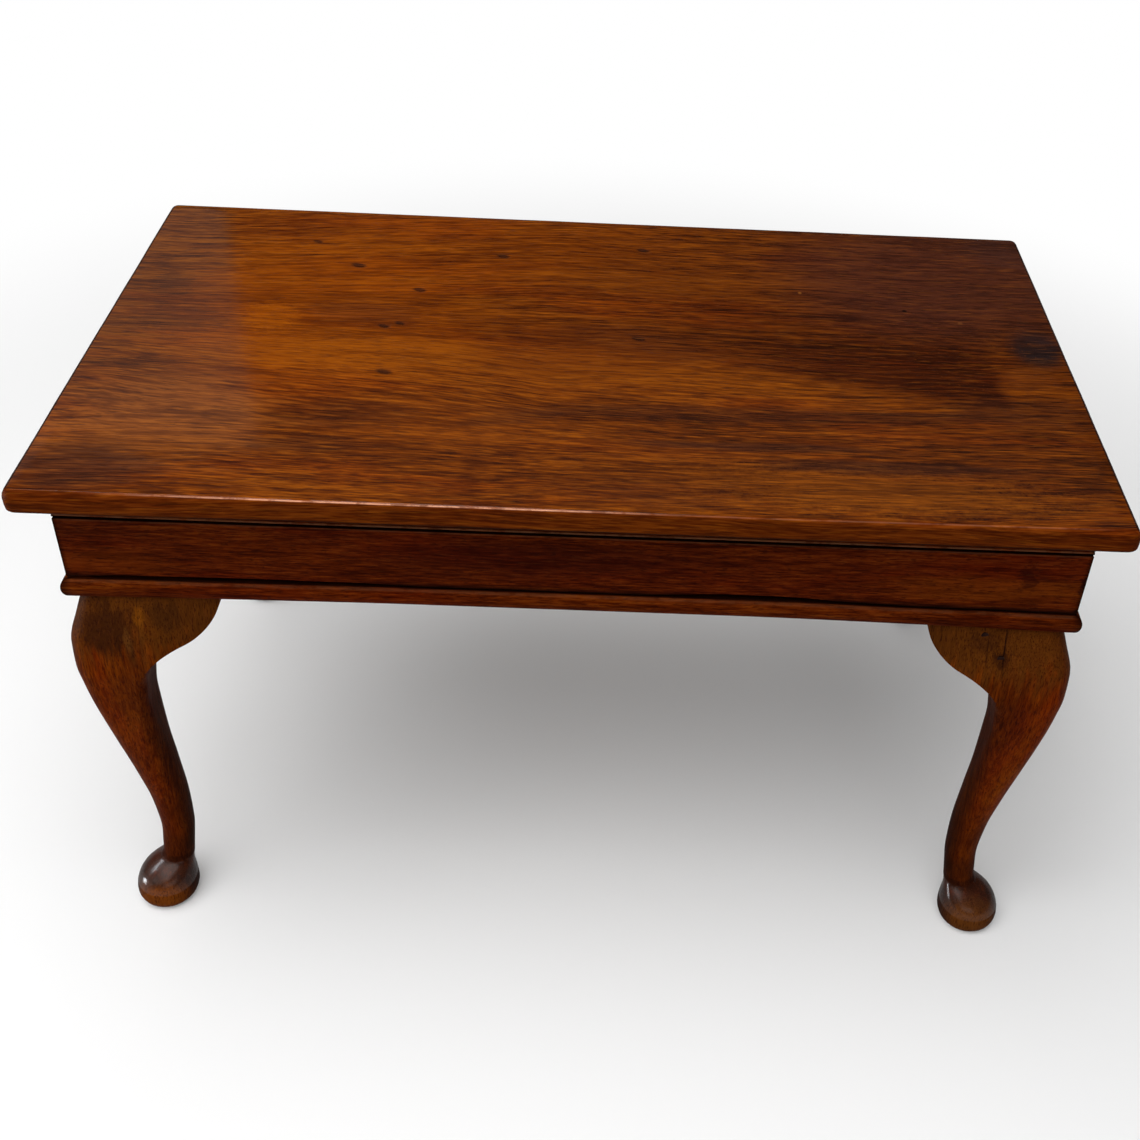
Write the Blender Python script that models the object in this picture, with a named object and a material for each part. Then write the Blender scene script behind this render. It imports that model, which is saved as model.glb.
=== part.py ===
"""Storage coffee table: a mahogany box with a lid hinged at the back, on four cabriole legs with pad feet.

Metres, +Z up, the front towards -Y. The origin is on the floor under the middle of the whole table.
"""

import math

import bmesh
import bpy
from mathutils import Vector

GLUE = 0.0003  # gap left at every joint between two pieces

# Lid: a solid board with a shallow rim below it, flush with the box
LID_LENGTH = 0.780
LID_DEPTH = 0.436
LID_THICKNESS = 0.019
LID_CORNER = 0.006
LID_TOP_ROUND = 0.004
LID_BOTTOM_ROUND = 0.005
LID_SIDE_OVERHANG = 0.021
LID_FRONT_OVERHANG = 0.017
LID_BACK_OVERHANG = 0.0
LID_GAP = 0.0016  # open line between rim and box
RIM_HEIGHT = 0.0152
RIM_BEAD = 0.003  # rounding of the rim's lower edge
ROUND_STEPS = 4

# Box: four mitred boards and a loose floor
BOARD = 0.016
APRON_HEIGHT = 0.0533
APRON_EASE = 0.001
APRON_LOW_EASE = 0.0014
PANEL_THICKNESS = 0.006

# Base frame: mitred rails, with a rounded edge that stands out from the box
FRAME_THICKNESS = 0.0153
FRAME_WIDTH = 0.062
NOSE = 0.0045
NOSE_QUIRK = 0.0008  # flat step between the box and the top of the moulding
NOSE_LOW_ROUND = 0.006

# Cabriole leg, as insets from the box's end face; at the front and back the leg stands LEG_STEP further out
LEG_HEIGHT = 0.3547
LEG_STEP = 0.005
POST_INNER = 0.047  # flat face of the leg's top that the ears are glued to
ANKLE_HEIGHT = 0.040
FOOT_INSET = 0.0162
FOOT_RADIUS = 0.0258
# height, share of the foot's radius, share of the way from the foot's middle to the ankle's
FOOT_LINE = (
    (0.000, 0.80, 0.00),
    (0.004, 0.94, 0.00),
    (0.010, 1.00, 0.00),
    (0.016, 0.985, 0.02),
    (0.022, 0.92, 0.10),
    (0.028, 0.79, 0.30),
    (0.033, 0.65, 0.58),
    (0.037, 0.555, 0.83),
)
# share of the height from ankle to top, inset of the outer line, inset of the inner line
LEG_LINE = (
    (0.000, 0.0135, 0.0399),
    (0.051, 0.0152, 0.0417),
    (0.108, 0.0164, 0.0435),
    (0.216, 0.0144, 0.0442),
    (0.350, 0.0087, 0.0430),
    (0.493, 0.0023, 0.0413),
    (0.641, -0.0038, 0.0410),
    (0.725, -0.0069, 0.0437),
    (0.784, -0.0087, POST_INNER),
    (0.858, -0.0079, POST_INNER),
    (0.937, -0.0020, POST_INNER),
    (1.000, 0.0035, POST_INNER),
)
LEG_RINGS = 20
FOOT_RINGS = (0.0, 0.002, 0.004, 0.007, 0.010, 0.0135, 0.017, 0.0205, 0.024, 0.027, 0.030, 0.033, 0.0365)
CORNER_STEPS = 3
ROUND_BELOW = 0.30  # share of the leg's height under which its section is round
SQUARE_ABOVE = 0.72  # share above which the section is that of the knee
EDGE_FROM = 0.74  # from here up the knee's edges sharpen, to meet the ears flush
EDGE_TO = 0.79
# corner radii as shares of half the leg's width
SHAFT_ROUND = 0.98
KNEE_OUTER_ROUND = 0.55
KNEE_SIDE_ROUND = 0.28
KNEE_BACK_ROUND = 0.92
EAR_EDGE_ROUND = 0.02

# Ear: ogee from its tip back to the leg, in shares of its length and of its drop
EAR_LENGTH = 0.061
EAR_DROP = 0.0681
EAR_TIP = 0.0015
EAR_BACK = 0.021  # inset of the ear's flat back
EAR_BULGE = ((1.0, EAR_TIP / EAR_DROP), (0.955, 0.26), (0.76, 0.56), (0.50, 0.662))
EAR_HOLLOW = ((0.50, 0.662), (0.30, 0.739), (0.11, 0.863), (0.0, 1.0))
EAR_COLUMNS = 6
EAR_ROWS = 5

# Stop hinges, each with five knuckles
HINGE_INSET = 0.139  # from the end of the box to the middle of a hinge
HINGE_LENGTH = 0.060
KNUCKLES = 5
LEAF_THICKNESS = 0.002
LEAF_SEAT = 0.0125  # how far a leaf reaches into the board
PIN_RADIUS = 0.0012
PIN_BUTTON = 0.0020
BUTTON_LENGTH = 0.0012
LID_OPEN = 100.0  # degrees
STOP_SLACK = 1.5  # degrees between the lugs when the lid is fully open
LUG_REACH = 0.005
LUG_THICKNESS = 0.002
BARREL_STEPS = 24

# Countersunk screws: head radius, head height, shank radius, length
HINGE_SCREW = (0.0026, 0.0016, 0.0013, 0.012)
RIM_SCREW = (0.0035, 0.0025, 0.0019, 0.027)
LEG_SCREW = (0.0042, 0.0030, 0.0022, 0.042)
HINGE_SCREW_PITCH = 0.020
RIM_SCREW_PITCH = 0.300
LEG_SCREW_FAR = 0.041
LEG_SCREW_NEAR = 0.024
SCREW_SIDES = 8

# Places that follow from the sizes above
BOX_LENGTH = LID_LENGTH - 2 * LID_SIDE_OVERHANG
BOX_DEPTH = LID_DEPTH - LID_FRONT_OVERHANG - LID_BACK_OVERHANG
BACK_REACH = max(LID_BACK_OVERHANG, FOOT_RADIUS - FOOT_INSET + LEG_STEP)
FRONT_Y = -(LID_FRONT_OVERHANG + BOX_DEPTH + BACK_REACH) / 2 + LID_FRONT_OVERHANG
BACK_Y = FRONT_Y + BOX_DEPTH
BOX_Y = (FRONT_Y + BACK_Y) / 2
LID_Y = FRONT_Y - LID_FRONT_OVERHANG + LID_DEPTH / 2
FRAME_BOTTOM = LEG_HEIGHT + GLUE
FRAME_TOP = FRAME_BOTTOM + FRAME_THICKNESS
APRON_BOTTOM = FRAME_TOP + GLUE
APRON_TOP = APRON_BOTTOM + APRON_HEIGHT
RIM_BOTTOM = APRON_TOP + LID_GAP
RIM_TOP = RIM_BOTTOM + RIM_HEIGHT
LID_BOTTOM = RIM_TOP + GLUE
KNUCKLE_RADIUS = LEAF_THICKNESS + LID_GAP / 2
HINGE_Y = BACK_Y + KNUCKLE_RADIUS + 2 * GLUE
HINGE_Z = APRON_TOP + LID_GAP / 2
LEAF_WIDTH = HINGE_Y - BACK_Y + LEAF_SEAT
HINGE_X = BOX_LENGTH / 2 - HINGE_INSET

SIDES = {
    "front": (0.0, FRONT_Y, 0.0, BOX_LENGTH / 2),
    "right": (BOX_LENGTH / 2, BOX_Y, 90.0, BOX_DEPTH / 2),
    "back": (0.0, BACK_Y, 180.0, BOX_LENGTH / 2),
    "left": (-BOX_LENGTH / 2, BOX_Y, 270.0, BOX_DEPTH / 2),
}
CORNERS = {
    "front_left": (-1, -1),
    "front_right": (1, -1),
    "back_left": (-1, 1),
    "back_right": (1, 1),
}


def clear_scene():
    for obj in list(bpy.data.objects):
        bpy.data.objects.remove(obj, do_unlink=True)


def finish(name, colour, roughness, metallic=0.0):
    made = bpy.data.materials.new(name)
    made.use_nodes = True
    shader = made.node_tree.nodes["Principled BSDF"]
    shader.inputs["Base Color"].default_value = (*colour, 1.0)
    shader.inputs["Roughness"].default_value = roughness
    shader.inputs["Metallic"].default_value = metallic
    made.diffuse_color = (*colour, 1.0)
    return made


def place(obj, location, turn=0.0, parent=None):
    """Puts an object at a world place, also when it hangs on an empty that is only moved, not turned."""
    origin = parent.location if parent else Vector()
    obj.location = Vector(location) - origin
    obj.rotation_euler.z = math.radians(turn)
    obj.parent = parent
    return obj


def solid(name, mesh_builder, look):
    bmesh.ops.recalc_face_normals(mesh_builder, faces=mesh_builder.faces[:])
    mesh = bpy.data.meshes.new(name)
    mesh_builder.to_mesh(mesh)
    mesh_builder.free()
    if look:
        mesh.materials.append(look)
    obj = bpy.data.objects.new(name, mesh)
    bpy.context.collection.objects.link(obj)
    return obj


def helper(name, mesh_builder):
    obj = solid(name, mesh_builder, None)
    obj.hide_render = True
    obj.display_type = "WIRE"
    return obj


def boolean(target, other, operation="DIFFERENCE"):
    modifier = target.modifiers.new(other.name, "BOOLEAN")
    modifier.operation = operation
    modifier.solver = "EXACT"
    modifier.object = other


def loft(mesh_builder, rings):
    """Joins rings of equal point count side by side and closes both ends."""
    loops = [[mesh_builder.verts.new(point) for point in ring] for ring in rings]
    for low, high in zip(loops, loops[1:]):
        for i in range(len(low)):
            j = (i + 1) % len(low)
            mesh_builder.faces.new((low[i], low[j], high[j], high[i]))
    mesh_builder.faces.new(loops[0][::-1])
    mesh_builder.faces.new(loops[-1])


def box(mesh_builder, low, high):
    corners = [(low[0], low[1]), (high[0], low[1]), (high[0], high[1]), (low[0], high[1])]
    loft(mesh_builder, [[(x, y, z) for x, y in corners] for z in (low[2], high[2])])


def arc(centre, radii, start, end, steps):
    """Points of an elliptical arc between two angles in degrees."""
    angles = [math.radians(start + (end - start) * i / steps) for i in range(steps + 1)]
    return [(centre[0] + radii[0] * math.cos(a), centre[1] + radii[1] * math.sin(a)) for a in angles]


def circle(radius, steps):
    return arc((0, 0), (radius, radius), 0, 360 - 360 / steps, steps - 1)


def slope(stations, i, column):
    """Slope at a station: none at a turning point, otherwise the harmonic mean of both sides."""
    if i in (0, len(stations) - 1):
        i = min(max(i, 1), len(stations) - 1)
        return (stations[i][column] - stations[i - 1][column]) / (stations[i][0] - stations[i - 1][0])
    below = slope(stations[i - 1 : i + 1], 0, column)
    above = slope(stations[i : i + 2], 0, column)
    return 0.0 if below * above <= 0 else 2 * below * above / (below + above)


def smooth(stations, where, column):
    """Value of a column at a place along the stations, on a cubic that never overshoots them."""
    i = 0
    while i < len(stations) - 2 and where > stations[i + 1][0]:
        i += 1
    low, high = stations[i], stations[i + 1]
    span = high[0] - low[0]
    t = (where - low[0]) / span
    value = low[column] * (1 + 2 * t) * (1 - t) ** 2 + high[column] * t * t * (3 - 2 * t)
    value += slope(stations, i, column) * span * t * (1 - t) ** 2
    return value - slope(stations, i + 1, column) * span * t * t * (1 - t)


def fade(low, high, where):
    """Eased step from 0 at low to 1 at high."""
    t = min(max((where - low) / (high - low), 0.0), 1.0)
    return t * t * (3 - 2 * t)


def rounded_outline(half_x, half_y, radius, steps):
    points = []
    for k, (sx, sy) in enumerate(((1, 1), (-1, 1), (-1, -1), (1, -1))):
        centre = (sx * (half_x - radius), sy * (half_y - radius))
        points += arc(centre, (radius, radius), 90 * k, 90 * k + 90, steps)
    return points


def make_lid_board(look, axis):
    profile = arc((LID_BOTTOM_ROUND, LID_BOTTOM_ROUND), (LID_BOTTOM_ROUND,) * 2, 270, 180, ROUND_STEPS)
    top = LID_THICKNESS - LID_TOP_ROUND
    profile += arc((LID_TOP_ROUND, top), (LID_TOP_ROUND,) * 2, 180, 90, ROUND_STEPS)
    mesh_builder = bmesh.new()
    rings = []
    for inset, z in profile:
        corner = max(LID_CORNER - inset, 0.0005)
        ring = rounded_outline(LID_LENGTH / 2 - inset, LID_DEPTH / 2 - inset, corner, ROUND_STEPS)
        rings.append([(x, y, z) for x, y in ring])
    loft(mesh_builder, rings)
    return place(solid("lid_board", mesh_builder, look), (0, LID_Y, LID_BOTTOM), 0, axis)


def make_mitred_rails(stem, section, look, axis=None):
    """Four rails round the box. The section is (distance out from the box's face, height)."""
    rails = {}
    for side, (x, y, turn, half) in SIDES.items():
        mesh_builder = bmesh.new()
        rings = []
        for end in (-1, 1):
            rings.append([(end * (half + out - GLUE / math.sqrt(2)), -out, z) for out, z in section])
        loft(mesh_builder, rings)
        rail = solid(f"{stem}_{side}", mesh_builder, look)
        rails[side] = place(rail, (x, y, 0), turn, axis)
    return rails


def apron_section():
    section = [(-BOARD, APRON_TOP), (-BOARD, APRON_BOTTOM)]
    centre = (-APRON_LOW_EASE, APRON_BOTTOM + APRON_LOW_EASE)
    section += arc(centre, (APRON_LOW_EASE, APRON_LOW_EASE), 270, 360, 2)
    centre = (-APRON_EASE, APRON_TOP - APRON_EASE)
    return section + arc(centre, (APRON_EASE, APRON_EASE), 0, 90, 2)


def rim_section():
    centre = (-RIM_BEAD, RIM_BOTTOM + RIM_BEAD)
    return [(0.0, RIM_TOP), (-BOARD, RIM_TOP), (-BOARD, RIM_BOTTOM)] + arc(
        centre, (RIM_BEAD, RIM_BEAD), 270, 360, ROUND_STEPS
    )


def frame_section():
    low = FRAME_BOTTOM + NOSE_LOW_ROUND
    section = [(NOSE_QUIRK - FRAME_WIDTH, FRAME_TOP), (NOSE_QUIRK - FRAME_WIDTH, FRAME_BOTTOM)]
    section += arc((NOSE - NOSE_LOW_ROUND, low), (NOSE_LOW_ROUND, NOSE_LOW_ROUND), 270, 360, 5)
    upper = arc((NOSE_QUIRK, low), (NOSE - NOSE_QUIRK, FRAME_TOP - low), 0, 90, 6)
    return section + upper[1:]


def make_bottom_panel(look):
    half_x = BOX_LENGTH / 2 - BOARD - GLUE
    half_y = BOX_DEPTH / 2 - BOARD - GLUE
    mesh_builder = bmesh.new()
    box(mesh_builder, (-half_x, -half_y, 0), (half_x, half_y, PANEL_THICKNESS))
    return place(solid("bottom_panel", mesh_builder, look), (0, BOX_Y, FRAME_TOP + GLUE))


def leg_stations():
    """Rows of height, outer inset and inner inset, from the floor to the top of the leg."""
    ankle = (LEG_LINE[0][1] + LEG_LINE[0][2]) / 2
    rows = []
    for height, share, drift in FOOT_LINE:
        middle = FOOT_INSET + drift * (ankle - FOOT_INSET)
        rows.append((height, middle - FOOT_RADIUS * share, middle + FOOT_RADIUS * share))
    for share, outer, inner in LEG_LINE:
        rows.append((ANKLE_HEIGHT + share * (LEG_HEIGHT - ANKLE_HEIGHT), outer, inner))
    return rows


def leg_section(stations, height):
    """Rounded square: round at the shaft, eased in front at the knee, with edges that meet the ears."""
    outer = smooth(stations, height, 1)
    inner = smooth(stations, height, 2)
    half = (inner - outer) / 2
    share = (height - ANKLE_HEIGHT) / (LEG_HEIGHT - ANKLE_HEIGHT)
    square = fade(ROUND_BELOW, SQUARE_ABOVE, share)
    edge = fade(EDGE_FROM, EDGE_TO, share)
    outer_round = SHAFT_ROUND + (KNEE_OUTER_ROUND - SHAFT_ROUND) * square
    back_round = SHAFT_ROUND + (KNEE_BACK_ROUND - SHAFT_ROUND) * square
    side_round = SHAFT_ROUND + (KNEE_SIDE_ROUND - SHAFT_ROUND) * square
    side_round += (EAR_EDGE_ROUND - KNEE_SIDE_ROUND) * edge
    middle = outer + half
    points = []
    corners = ((1, 1, back_round), (-1, 1, side_round), (-1, -1, outer_round), (1, -1, side_round))
    for k, (su, sv, rounding) in enumerate(corners):
        radius = half * rounding
        centre = (middle + su * (half - radius), middle - LEG_STEP + sv * (half - radius))
        points += arc(centre, (radius, radius), 90 * k, 90 * k + 90, CORNER_STEPS)
    return points


def corner_place(sx, sy):
    return (sx * BOX_LENGTH / 2, BACK_Y if sy > 0 else FRONT_Y, 0)


def make_leg(corner, look):
    sx, sy = CORNERS[corner]
    stations = leg_stations()
    step = (LEG_HEIGHT - ANKLE_HEIGHT) / LEG_RINGS
    heights = list(FOOT_RINGS) + [ANKLE_HEIGHT + i * step for i in range(LEG_RINGS + 1)]
    mesh_builder = bmesh.new()
    rings = []
    for height in heights:
        rings.append([(-sx * u, -sy * v, height) for u, v in leg_section(stations, height)])
    loft(mesh_builder, rings)
    return place(solid(f"leg_{corner}", mesh_builder, look), corner_place(sx, sy))


def bezier(points, t):
    a, b, c, d = (Vector(point) for point in points)
    return a * (1 - t) ** 3 + b * 3 * t * (1 - t) ** 2 + c * 3 * t * t * (1 - t) + d * t**3


def ear_curve():
    """Points of the ear's lower edge, as (distance from the leg, drop under the frame)."""
    shares = [bezier(EAR_BULGE, i / EAR_COLUMNS) for i in range(EAR_COLUMNS)]
    shares += [bezier(EAR_HOLLOW, i / EAR_COLUMNS) for i in range(EAR_COLUMNS + 1)]
    return [(share.x * EAR_LENGTH, share.y * EAR_DROP) for share in shares]


def make_ear(corner, face, look):
    """An ear beside the knee. Its front carries on from the knee and flattens towards the tip."""
    sx, sy = CORNERS[corner]
    on_end = face == "side"
    stations = leg_stations()
    shift = 0.0 if on_end else LEG_STEP
    start = POST_INNER + GLUE - (LEG_STEP if on_end else 0.0)
    mesh_builder = bmesh.new()
    fronts = []
    backs = []
    for along, drop in ear_curve():
        front_column = []
        back_column = []
        for row in range(EAR_ROWS + 1):
            height = LEG_HEIGHT - drop * (1 - row / EAR_ROWS)
            flat = fade(0.0, EAR_LENGTH, along)
            knee = smooth(stations, height, 1) * (1 - flat) + stations[-1][1] * flat
            for inset, column in ((knee - shift, front_column), (EAR_BACK, back_column)):
                u, v = (inset, start + along) if on_end else (start + along, inset)
                column.append(mesh_builder.verts.new((-sx * u, -sy * v, height)))
        fronts.append(front_column)
        backs.append(back_column)
    for grid in (fronts, backs):
        for one, two in zip(grid, grid[1:]):
            for row in range(EAR_ROWS):
                mesh_builder.faces.new((one[row], two[row], two[row + 1], one[row + 1]))
    edges = [(fronts[0], backs[0]), (fronts[-1], backs[-1])]
    for row in (0, EAR_ROWS):
        edges.append(([column[row] for column in fronts], [column[row] for column in backs]))
    for front, back in edges:
        for i in range(len(front) - 1):
            mesh_builder.faces.new((front[i], front[i + 1], back[i + 1], back[i]))
    return place(solid(f"ear_{corner}_{face}", mesh_builder, look), corner_place(sx, sy))


def screw(mesh_builder, head, up, sizes, grow=0.0):
    """A countersunk screw, from the middle of its head. With grow it is the hole that takes the screw."""
    head_radius, head_height, shank_radius, length = sizes
    rings = [(head_radius, 0.0), (shank_radius, head_height), (shank_radius, length + grow)]
    if grow:
        rings.insert(0, (head_radius, -0.001))
    shape = []
    for radius, depth in rings:
        outline = circle(radius + grow, SCREW_SIDES)
        shape.append([(head[0] + x, head[1] + y, head[2] + up * depth) for x, y in outline])
    loft(mesh_builder, shape)


def make_screws(stem, heads, up, sizes, look, axis=None):
    """One node for each screw. Returns the helper that cuts all their holes."""
    for number, head in enumerate(heads, 1):
        mesh_builder = bmesh.new()
        screw(mesh_builder, (0, 0, 0), up, sizes)
        place(solid(f"{stem}_{number}", mesh_builder, look), head, 0, axis)
    mesh_builder = bmesh.new()
    for head in heads:
        screw(mesh_builder, Vector(head) - Vector(heads[0]), up, sizes, GLUE)
    return place(helper(f"{stem}_holes", mesh_builder), heads[0], 0, axis)


def knuckle_span(index):
    width = HINGE_LENGTH / KNUCKLES
    return -HINGE_LENGTH / 2 + index * width, -HINGE_LENGTH / 2 + (index + 1) * width


def extrude_x(mesh_builder, outline, low, high):
    loft(mesh_builder, [[(x, y, z) for y, z in outline] for x in (low, high)])


def leaf_outline(up):
    """Side view of a leaf: a flat plate that runs into its barrel."""
    meet = math.degrees(math.asin((KNUCKLE_RADIUS - LEAF_THICKNESS) / KNUCKLE_RADIUS))
    outline = [(-LEAF_WIDTH, LEAF_THICKNESS - KNUCKLE_RADIUS), (-LEAF_WIDTH, -KNUCKLE_RADIUS)]
    outline += arc((0, 0), (KNUCKLE_RADIUS, KNUCKLE_RADIUS), -90, 180 + meet, BARREL_STEPS)
    return [(y, -up * z) for y, z in outline]


def make_lug(name, up, necks, x, axis):
    """Stop lug: a plate on a radial plane of the barrel, with a neck on each knuckle that carries it."""
    angle = math.radians((LID_OPEN + STOP_SLACK) / 2)
    inside = KNUCKLE_RADIUS - 2 * GLUE
    foot = KNUCKLE_RADIUS + 2 * GLUE
    far = KNUCKLE_RADIUS + LUG_REACH
    outline = [(knuckle_span(1)[0], far), (knuckle_span(1)[0], foot)]
    for neck in necks:
        low, high = knuckle_span(neck)
        low += 2 * GLUE
        high -= 2 * GLUE
        outline += [(low, foot), (low, inside), (high, inside), (high, foot)]
    outline += [(knuckle_span(KNUCKLES - 2)[1], foot), (knuckle_span(KNUCKLES - 2)[1], far)]
    rings = []
    for thick in (0.0, LUG_THICKNESS):
        ring = []
        for along, radius in outline:
            out = radius * math.cos(angle) - thick * math.sin(angle)
            rise = radius * math.sin(angle) + thick * math.cos(angle)
            ring.append((along, out, up * rise))
        rings.append(ring)
    mesh_builder = bmesh.new()
    loft(mesh_builder, rings)
    return place(helper(name, mesh_builder), (x, HINGE_Y, HINGE_Z), 0, axis)


def make_barrel_cutter(name, radius, spans, x, axis):
    mesh_builder = bmesh.new()
    for low, high in spans:
        extrude_x(mesh_builder, circle(radius, BARREL_STEPS), low, high)
    return place(helper(name, mesh_builder), (x, HINGE_Y, HINGE_Z), 0, axis)


def make_leaf(name, up, own, x, look, axis):
    """One leaf of a stop hinge. The knuckles of the other leaf and the pin get their room."""
    mesh_builder = bmesh.new()
    extrude_x(mesh_builder, leaf_outline(up), -HINGE_LENGTH / 2, HINGE_LENGTH / 2)
    leaf = place(solid(name, mesh_builder, look), (x, HINGE_Y, HINGE_Z), 0, axis)
    necks = [index for index in own if 0 < index < KNUCKLES - 1]
    boolean(leaf, make_lug(f"{name}_lug", up, necks, x, axis), "UNION")
    others = [knuckle_span(index) for index in range(KNUCKLES) if index not in own]
    room = [(low - GLUE, high + GLUE) for low, high in others]
    boolean(leaf, make_barrel_cutter(f"{name}_room", KNUCKLE_RADIUS + GLUE, room, x, axis))
    through = [(-HINGE_LENGTH, HINGE_LENGTH)]
    boolean(leaf, make_barrel_cutter(f"{name}_bore", PIN_RADIUS + GLUE, through, x, axis))
    return leaf


def make_pin(name, x, look):
    """The pin, with a round button at each end of the barrel."""
    shaft = HINGE_LENGTH / 2 + GLUE
    half = [(PIN_RADIUS, shaft), (PIN_BUTTON, shaft), (PIN_BUTTON, shaft + BUTTON_LENGTH * 0.6)]
    half.append((PIN_BUTTON * 0.6, shaft + BUTTON_LENGTH))
    stations = [(radius, -along) for radius, along in reversed(half)] + half
    mesh_builder = bmesh.new()
    rings = [[(along, y, z) for y, z in circle(radius, BARREL_STEPS // 2)] for radius, along in stations]
    loft(mesh_builder, rings)
    return place(solid(name, mesh_builder, look), (x, HINGE_Y, HINGE_Z))


def make_seats(name, low_z, high_z, axis):
    """Recesses in a board's edge that the leaves lie in, flush."""
    mesh_builder = bmesh.new()
    reach = HINGE_LENGTH / 2 + GLUE
    for x in (-HINGE_X, HINGE_X):
        low = (x - reach, BACK_Y - LEAF_SEAT - GLUE - HINGE_Y, low_z - HINGE_Z)
        high = (x + reach, 0.0, high_z - HINGE_Z)
        box(mesh_builder, low, high)
    return place(helper(name, mesh_builder), (0, HINGE_Y, HINGE_Z), 0, axis)


def make_hinges(apron, rim, brass, steel, axis):
    """Both hinges with their pins and seats. Returns the leaves on the box and the leaves on the lid."""
    box_leaves = []
    lid_leaves = []
    for label, x in (("left", -HINGE_X), ("right", HINGE_X)):
        box_leaves.append(make_leaf(f"hinge_{label}_box_leaf", -1, (0, 2, 4), x, brass, None))
        lid_leaves.append(make_leaf(f"hinge_{label}_lid_leaf", 1, (1, 3), x, brass, axis))
        make_pin(f"hinge_{label}_pin", x, steel)
    boolean(apron, make_seats("apron_seats", APRON_TOP - LEAF_THICKNESS - GLUE, HINGE_Z, None))
    boolean(rim, make_seats("rim_seats", HINGE_Z, RIM_BOTTOM + LEAF_THICKNESS + GLUE, axis))
    return box_leaves, lid_leaves


def hinge_screw_heads(z):
    """Three screws a leaf, along the middle of the part that is let into the board."""
    rows = [x + i * HINGE_SCREW_PITCH for x in (-HINGE_X, HINGE_X) for i in (-1, 0, 1)]
    return [(x, BACK_Y - LEAF_SEAT / 2, z) for x in rows]


def rim_screw_heads():
    """Two screws in each long strip and one in each short one, on the middle of the strip."""
    end_x = BOX_LENGTH / 2 - BOARD / 2
    heads = [(-end_x, BOX_Y, RIM_BOTTOM), (end_x, BOX_Y, RIM_BOTTOM)]
    for x in (-RIM_SCREW_PITCH / 2, RIM_SCREW_PITCH / 2):
        for y in (FRONT_Y + BOARD / 2, BACK_Y - BOARD / 2):
            heads.append((x, y, RIM_BOTTOM))
    return heads


def leg_screw_heads():
    """Two screws a leg, one through each of the rails that meet over it."""
    heads = []
    near = LEG_SCREW_NEAR - LEG_STEP
    for sx, sy in CORNERS.values():
        x, y, _ = corner_place(sx, sy)
        for u, v in ((LEG_SCREW_FAR, near), (near, LEG_SCREW_FAR - LEG_STEP)):
            heads.append((x - sx * u, y - sy * v, FRAME_TOP))
    return heads


def main():
    clear_scene()
    top_wood = finish("top_mahogany", (0.155, 0.058, 0.018), 0.28)
    box_wood = finish("box_mahogany", (0.085, 0.022, 0.008), 0.35)
    leg_wood = finish("leg_mahogany", (0.120, 0.038, 0.012), 0.32)
    floor_wood = finish("panel_plywood", (0.32, 0.20, 0.11), 0.65)
    brass = finish("brass", (0.66, 0.47, 0.19), 0.35, 1.0)
    steel = finish("steel", (0.45, 0.44, 0.42), 0.40, 1.0)

    axis = bpy.data.objects.new("lid_axis", None)
    axis.location = (0, HINGE_Y, HINGE_Z)
    bpy.context.collection.objects.link(axis)

    lid = make_lid_board(top_wood, axis)
    rims = make_mitred_rails("lid_rim", rim_section(), box_wood, axis)
    aprons = make_mitred_rails("apron", apron_section(), box_wood)
    frames = make_mitred_rails("base_frame", frame_section(), leg_wood)
    make_bottom_panel(floor_wood)
    legs = [make_leg(corner, leg_wood) for corner in CORNERS]
    for corner in CORNERS:
        make_ear(corner, corner.split("_")[0], leg_wood)
        make_ear(corner, "side", leg_wood)

    box_leaves, lid_leaves = make_hinges(aprons["back"], rims["back"], brass, steel, axis)
    box_holes = make_screws("hinge_box_screw", hinge_screw_heads(APRON_TOP), -1, HINGE_SCREW, brass)
    lid_holes = make_screws("hinge_lid_screw", hinge_screw_heads(RIM_BOTTOM), 1, HINGE_SCREW, brass, axis)
    rim_holes = make_screws("rim_screw", rim_screw_heads(), 1, RIM_SCREW, steel, axis)
    leg_holes = make_screws("leg_screw", leg_screw_heads(), -1, LEG_SCREW, steel)
    for piece in (*box_leaves, aprons["back"]):
        boolean(piece, box_holes)
    for piece in (*lid_leaves, rims["back"]):
        boolean(piece, lid_holes)
    for piece in (lid, *rims.values()):
        boolean(piece, rim_holes)
    for piece in (*legs, *frames.values()):
        boolean(piece, leg_holes)


main()
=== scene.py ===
import math

import bmesh
import bpy
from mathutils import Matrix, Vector, noise


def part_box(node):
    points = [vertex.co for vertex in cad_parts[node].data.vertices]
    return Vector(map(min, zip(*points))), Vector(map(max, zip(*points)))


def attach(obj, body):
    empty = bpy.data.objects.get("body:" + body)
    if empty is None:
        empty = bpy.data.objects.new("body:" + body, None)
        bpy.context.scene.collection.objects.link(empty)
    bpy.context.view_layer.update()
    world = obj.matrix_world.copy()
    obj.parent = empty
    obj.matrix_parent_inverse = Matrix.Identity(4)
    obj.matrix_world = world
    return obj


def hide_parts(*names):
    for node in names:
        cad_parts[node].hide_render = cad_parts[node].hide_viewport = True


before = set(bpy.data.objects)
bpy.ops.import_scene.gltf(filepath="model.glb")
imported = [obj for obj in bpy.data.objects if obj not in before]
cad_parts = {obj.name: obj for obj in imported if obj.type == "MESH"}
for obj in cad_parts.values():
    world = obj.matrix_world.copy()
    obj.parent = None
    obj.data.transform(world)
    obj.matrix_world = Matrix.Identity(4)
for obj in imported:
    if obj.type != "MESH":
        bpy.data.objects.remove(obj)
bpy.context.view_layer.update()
print("frame loaded,", len(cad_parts), "nodes")

# the box's outer faces, which the rails, legs and ears are measured from
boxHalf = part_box("apron_right")[1].x
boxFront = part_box("apron_front")[0].y
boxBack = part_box("apron_back")[1].y
boxMiddle = (boxFront + boxBack) / 2
glueLine = 0.0003
tiny = 0.0001


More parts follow.
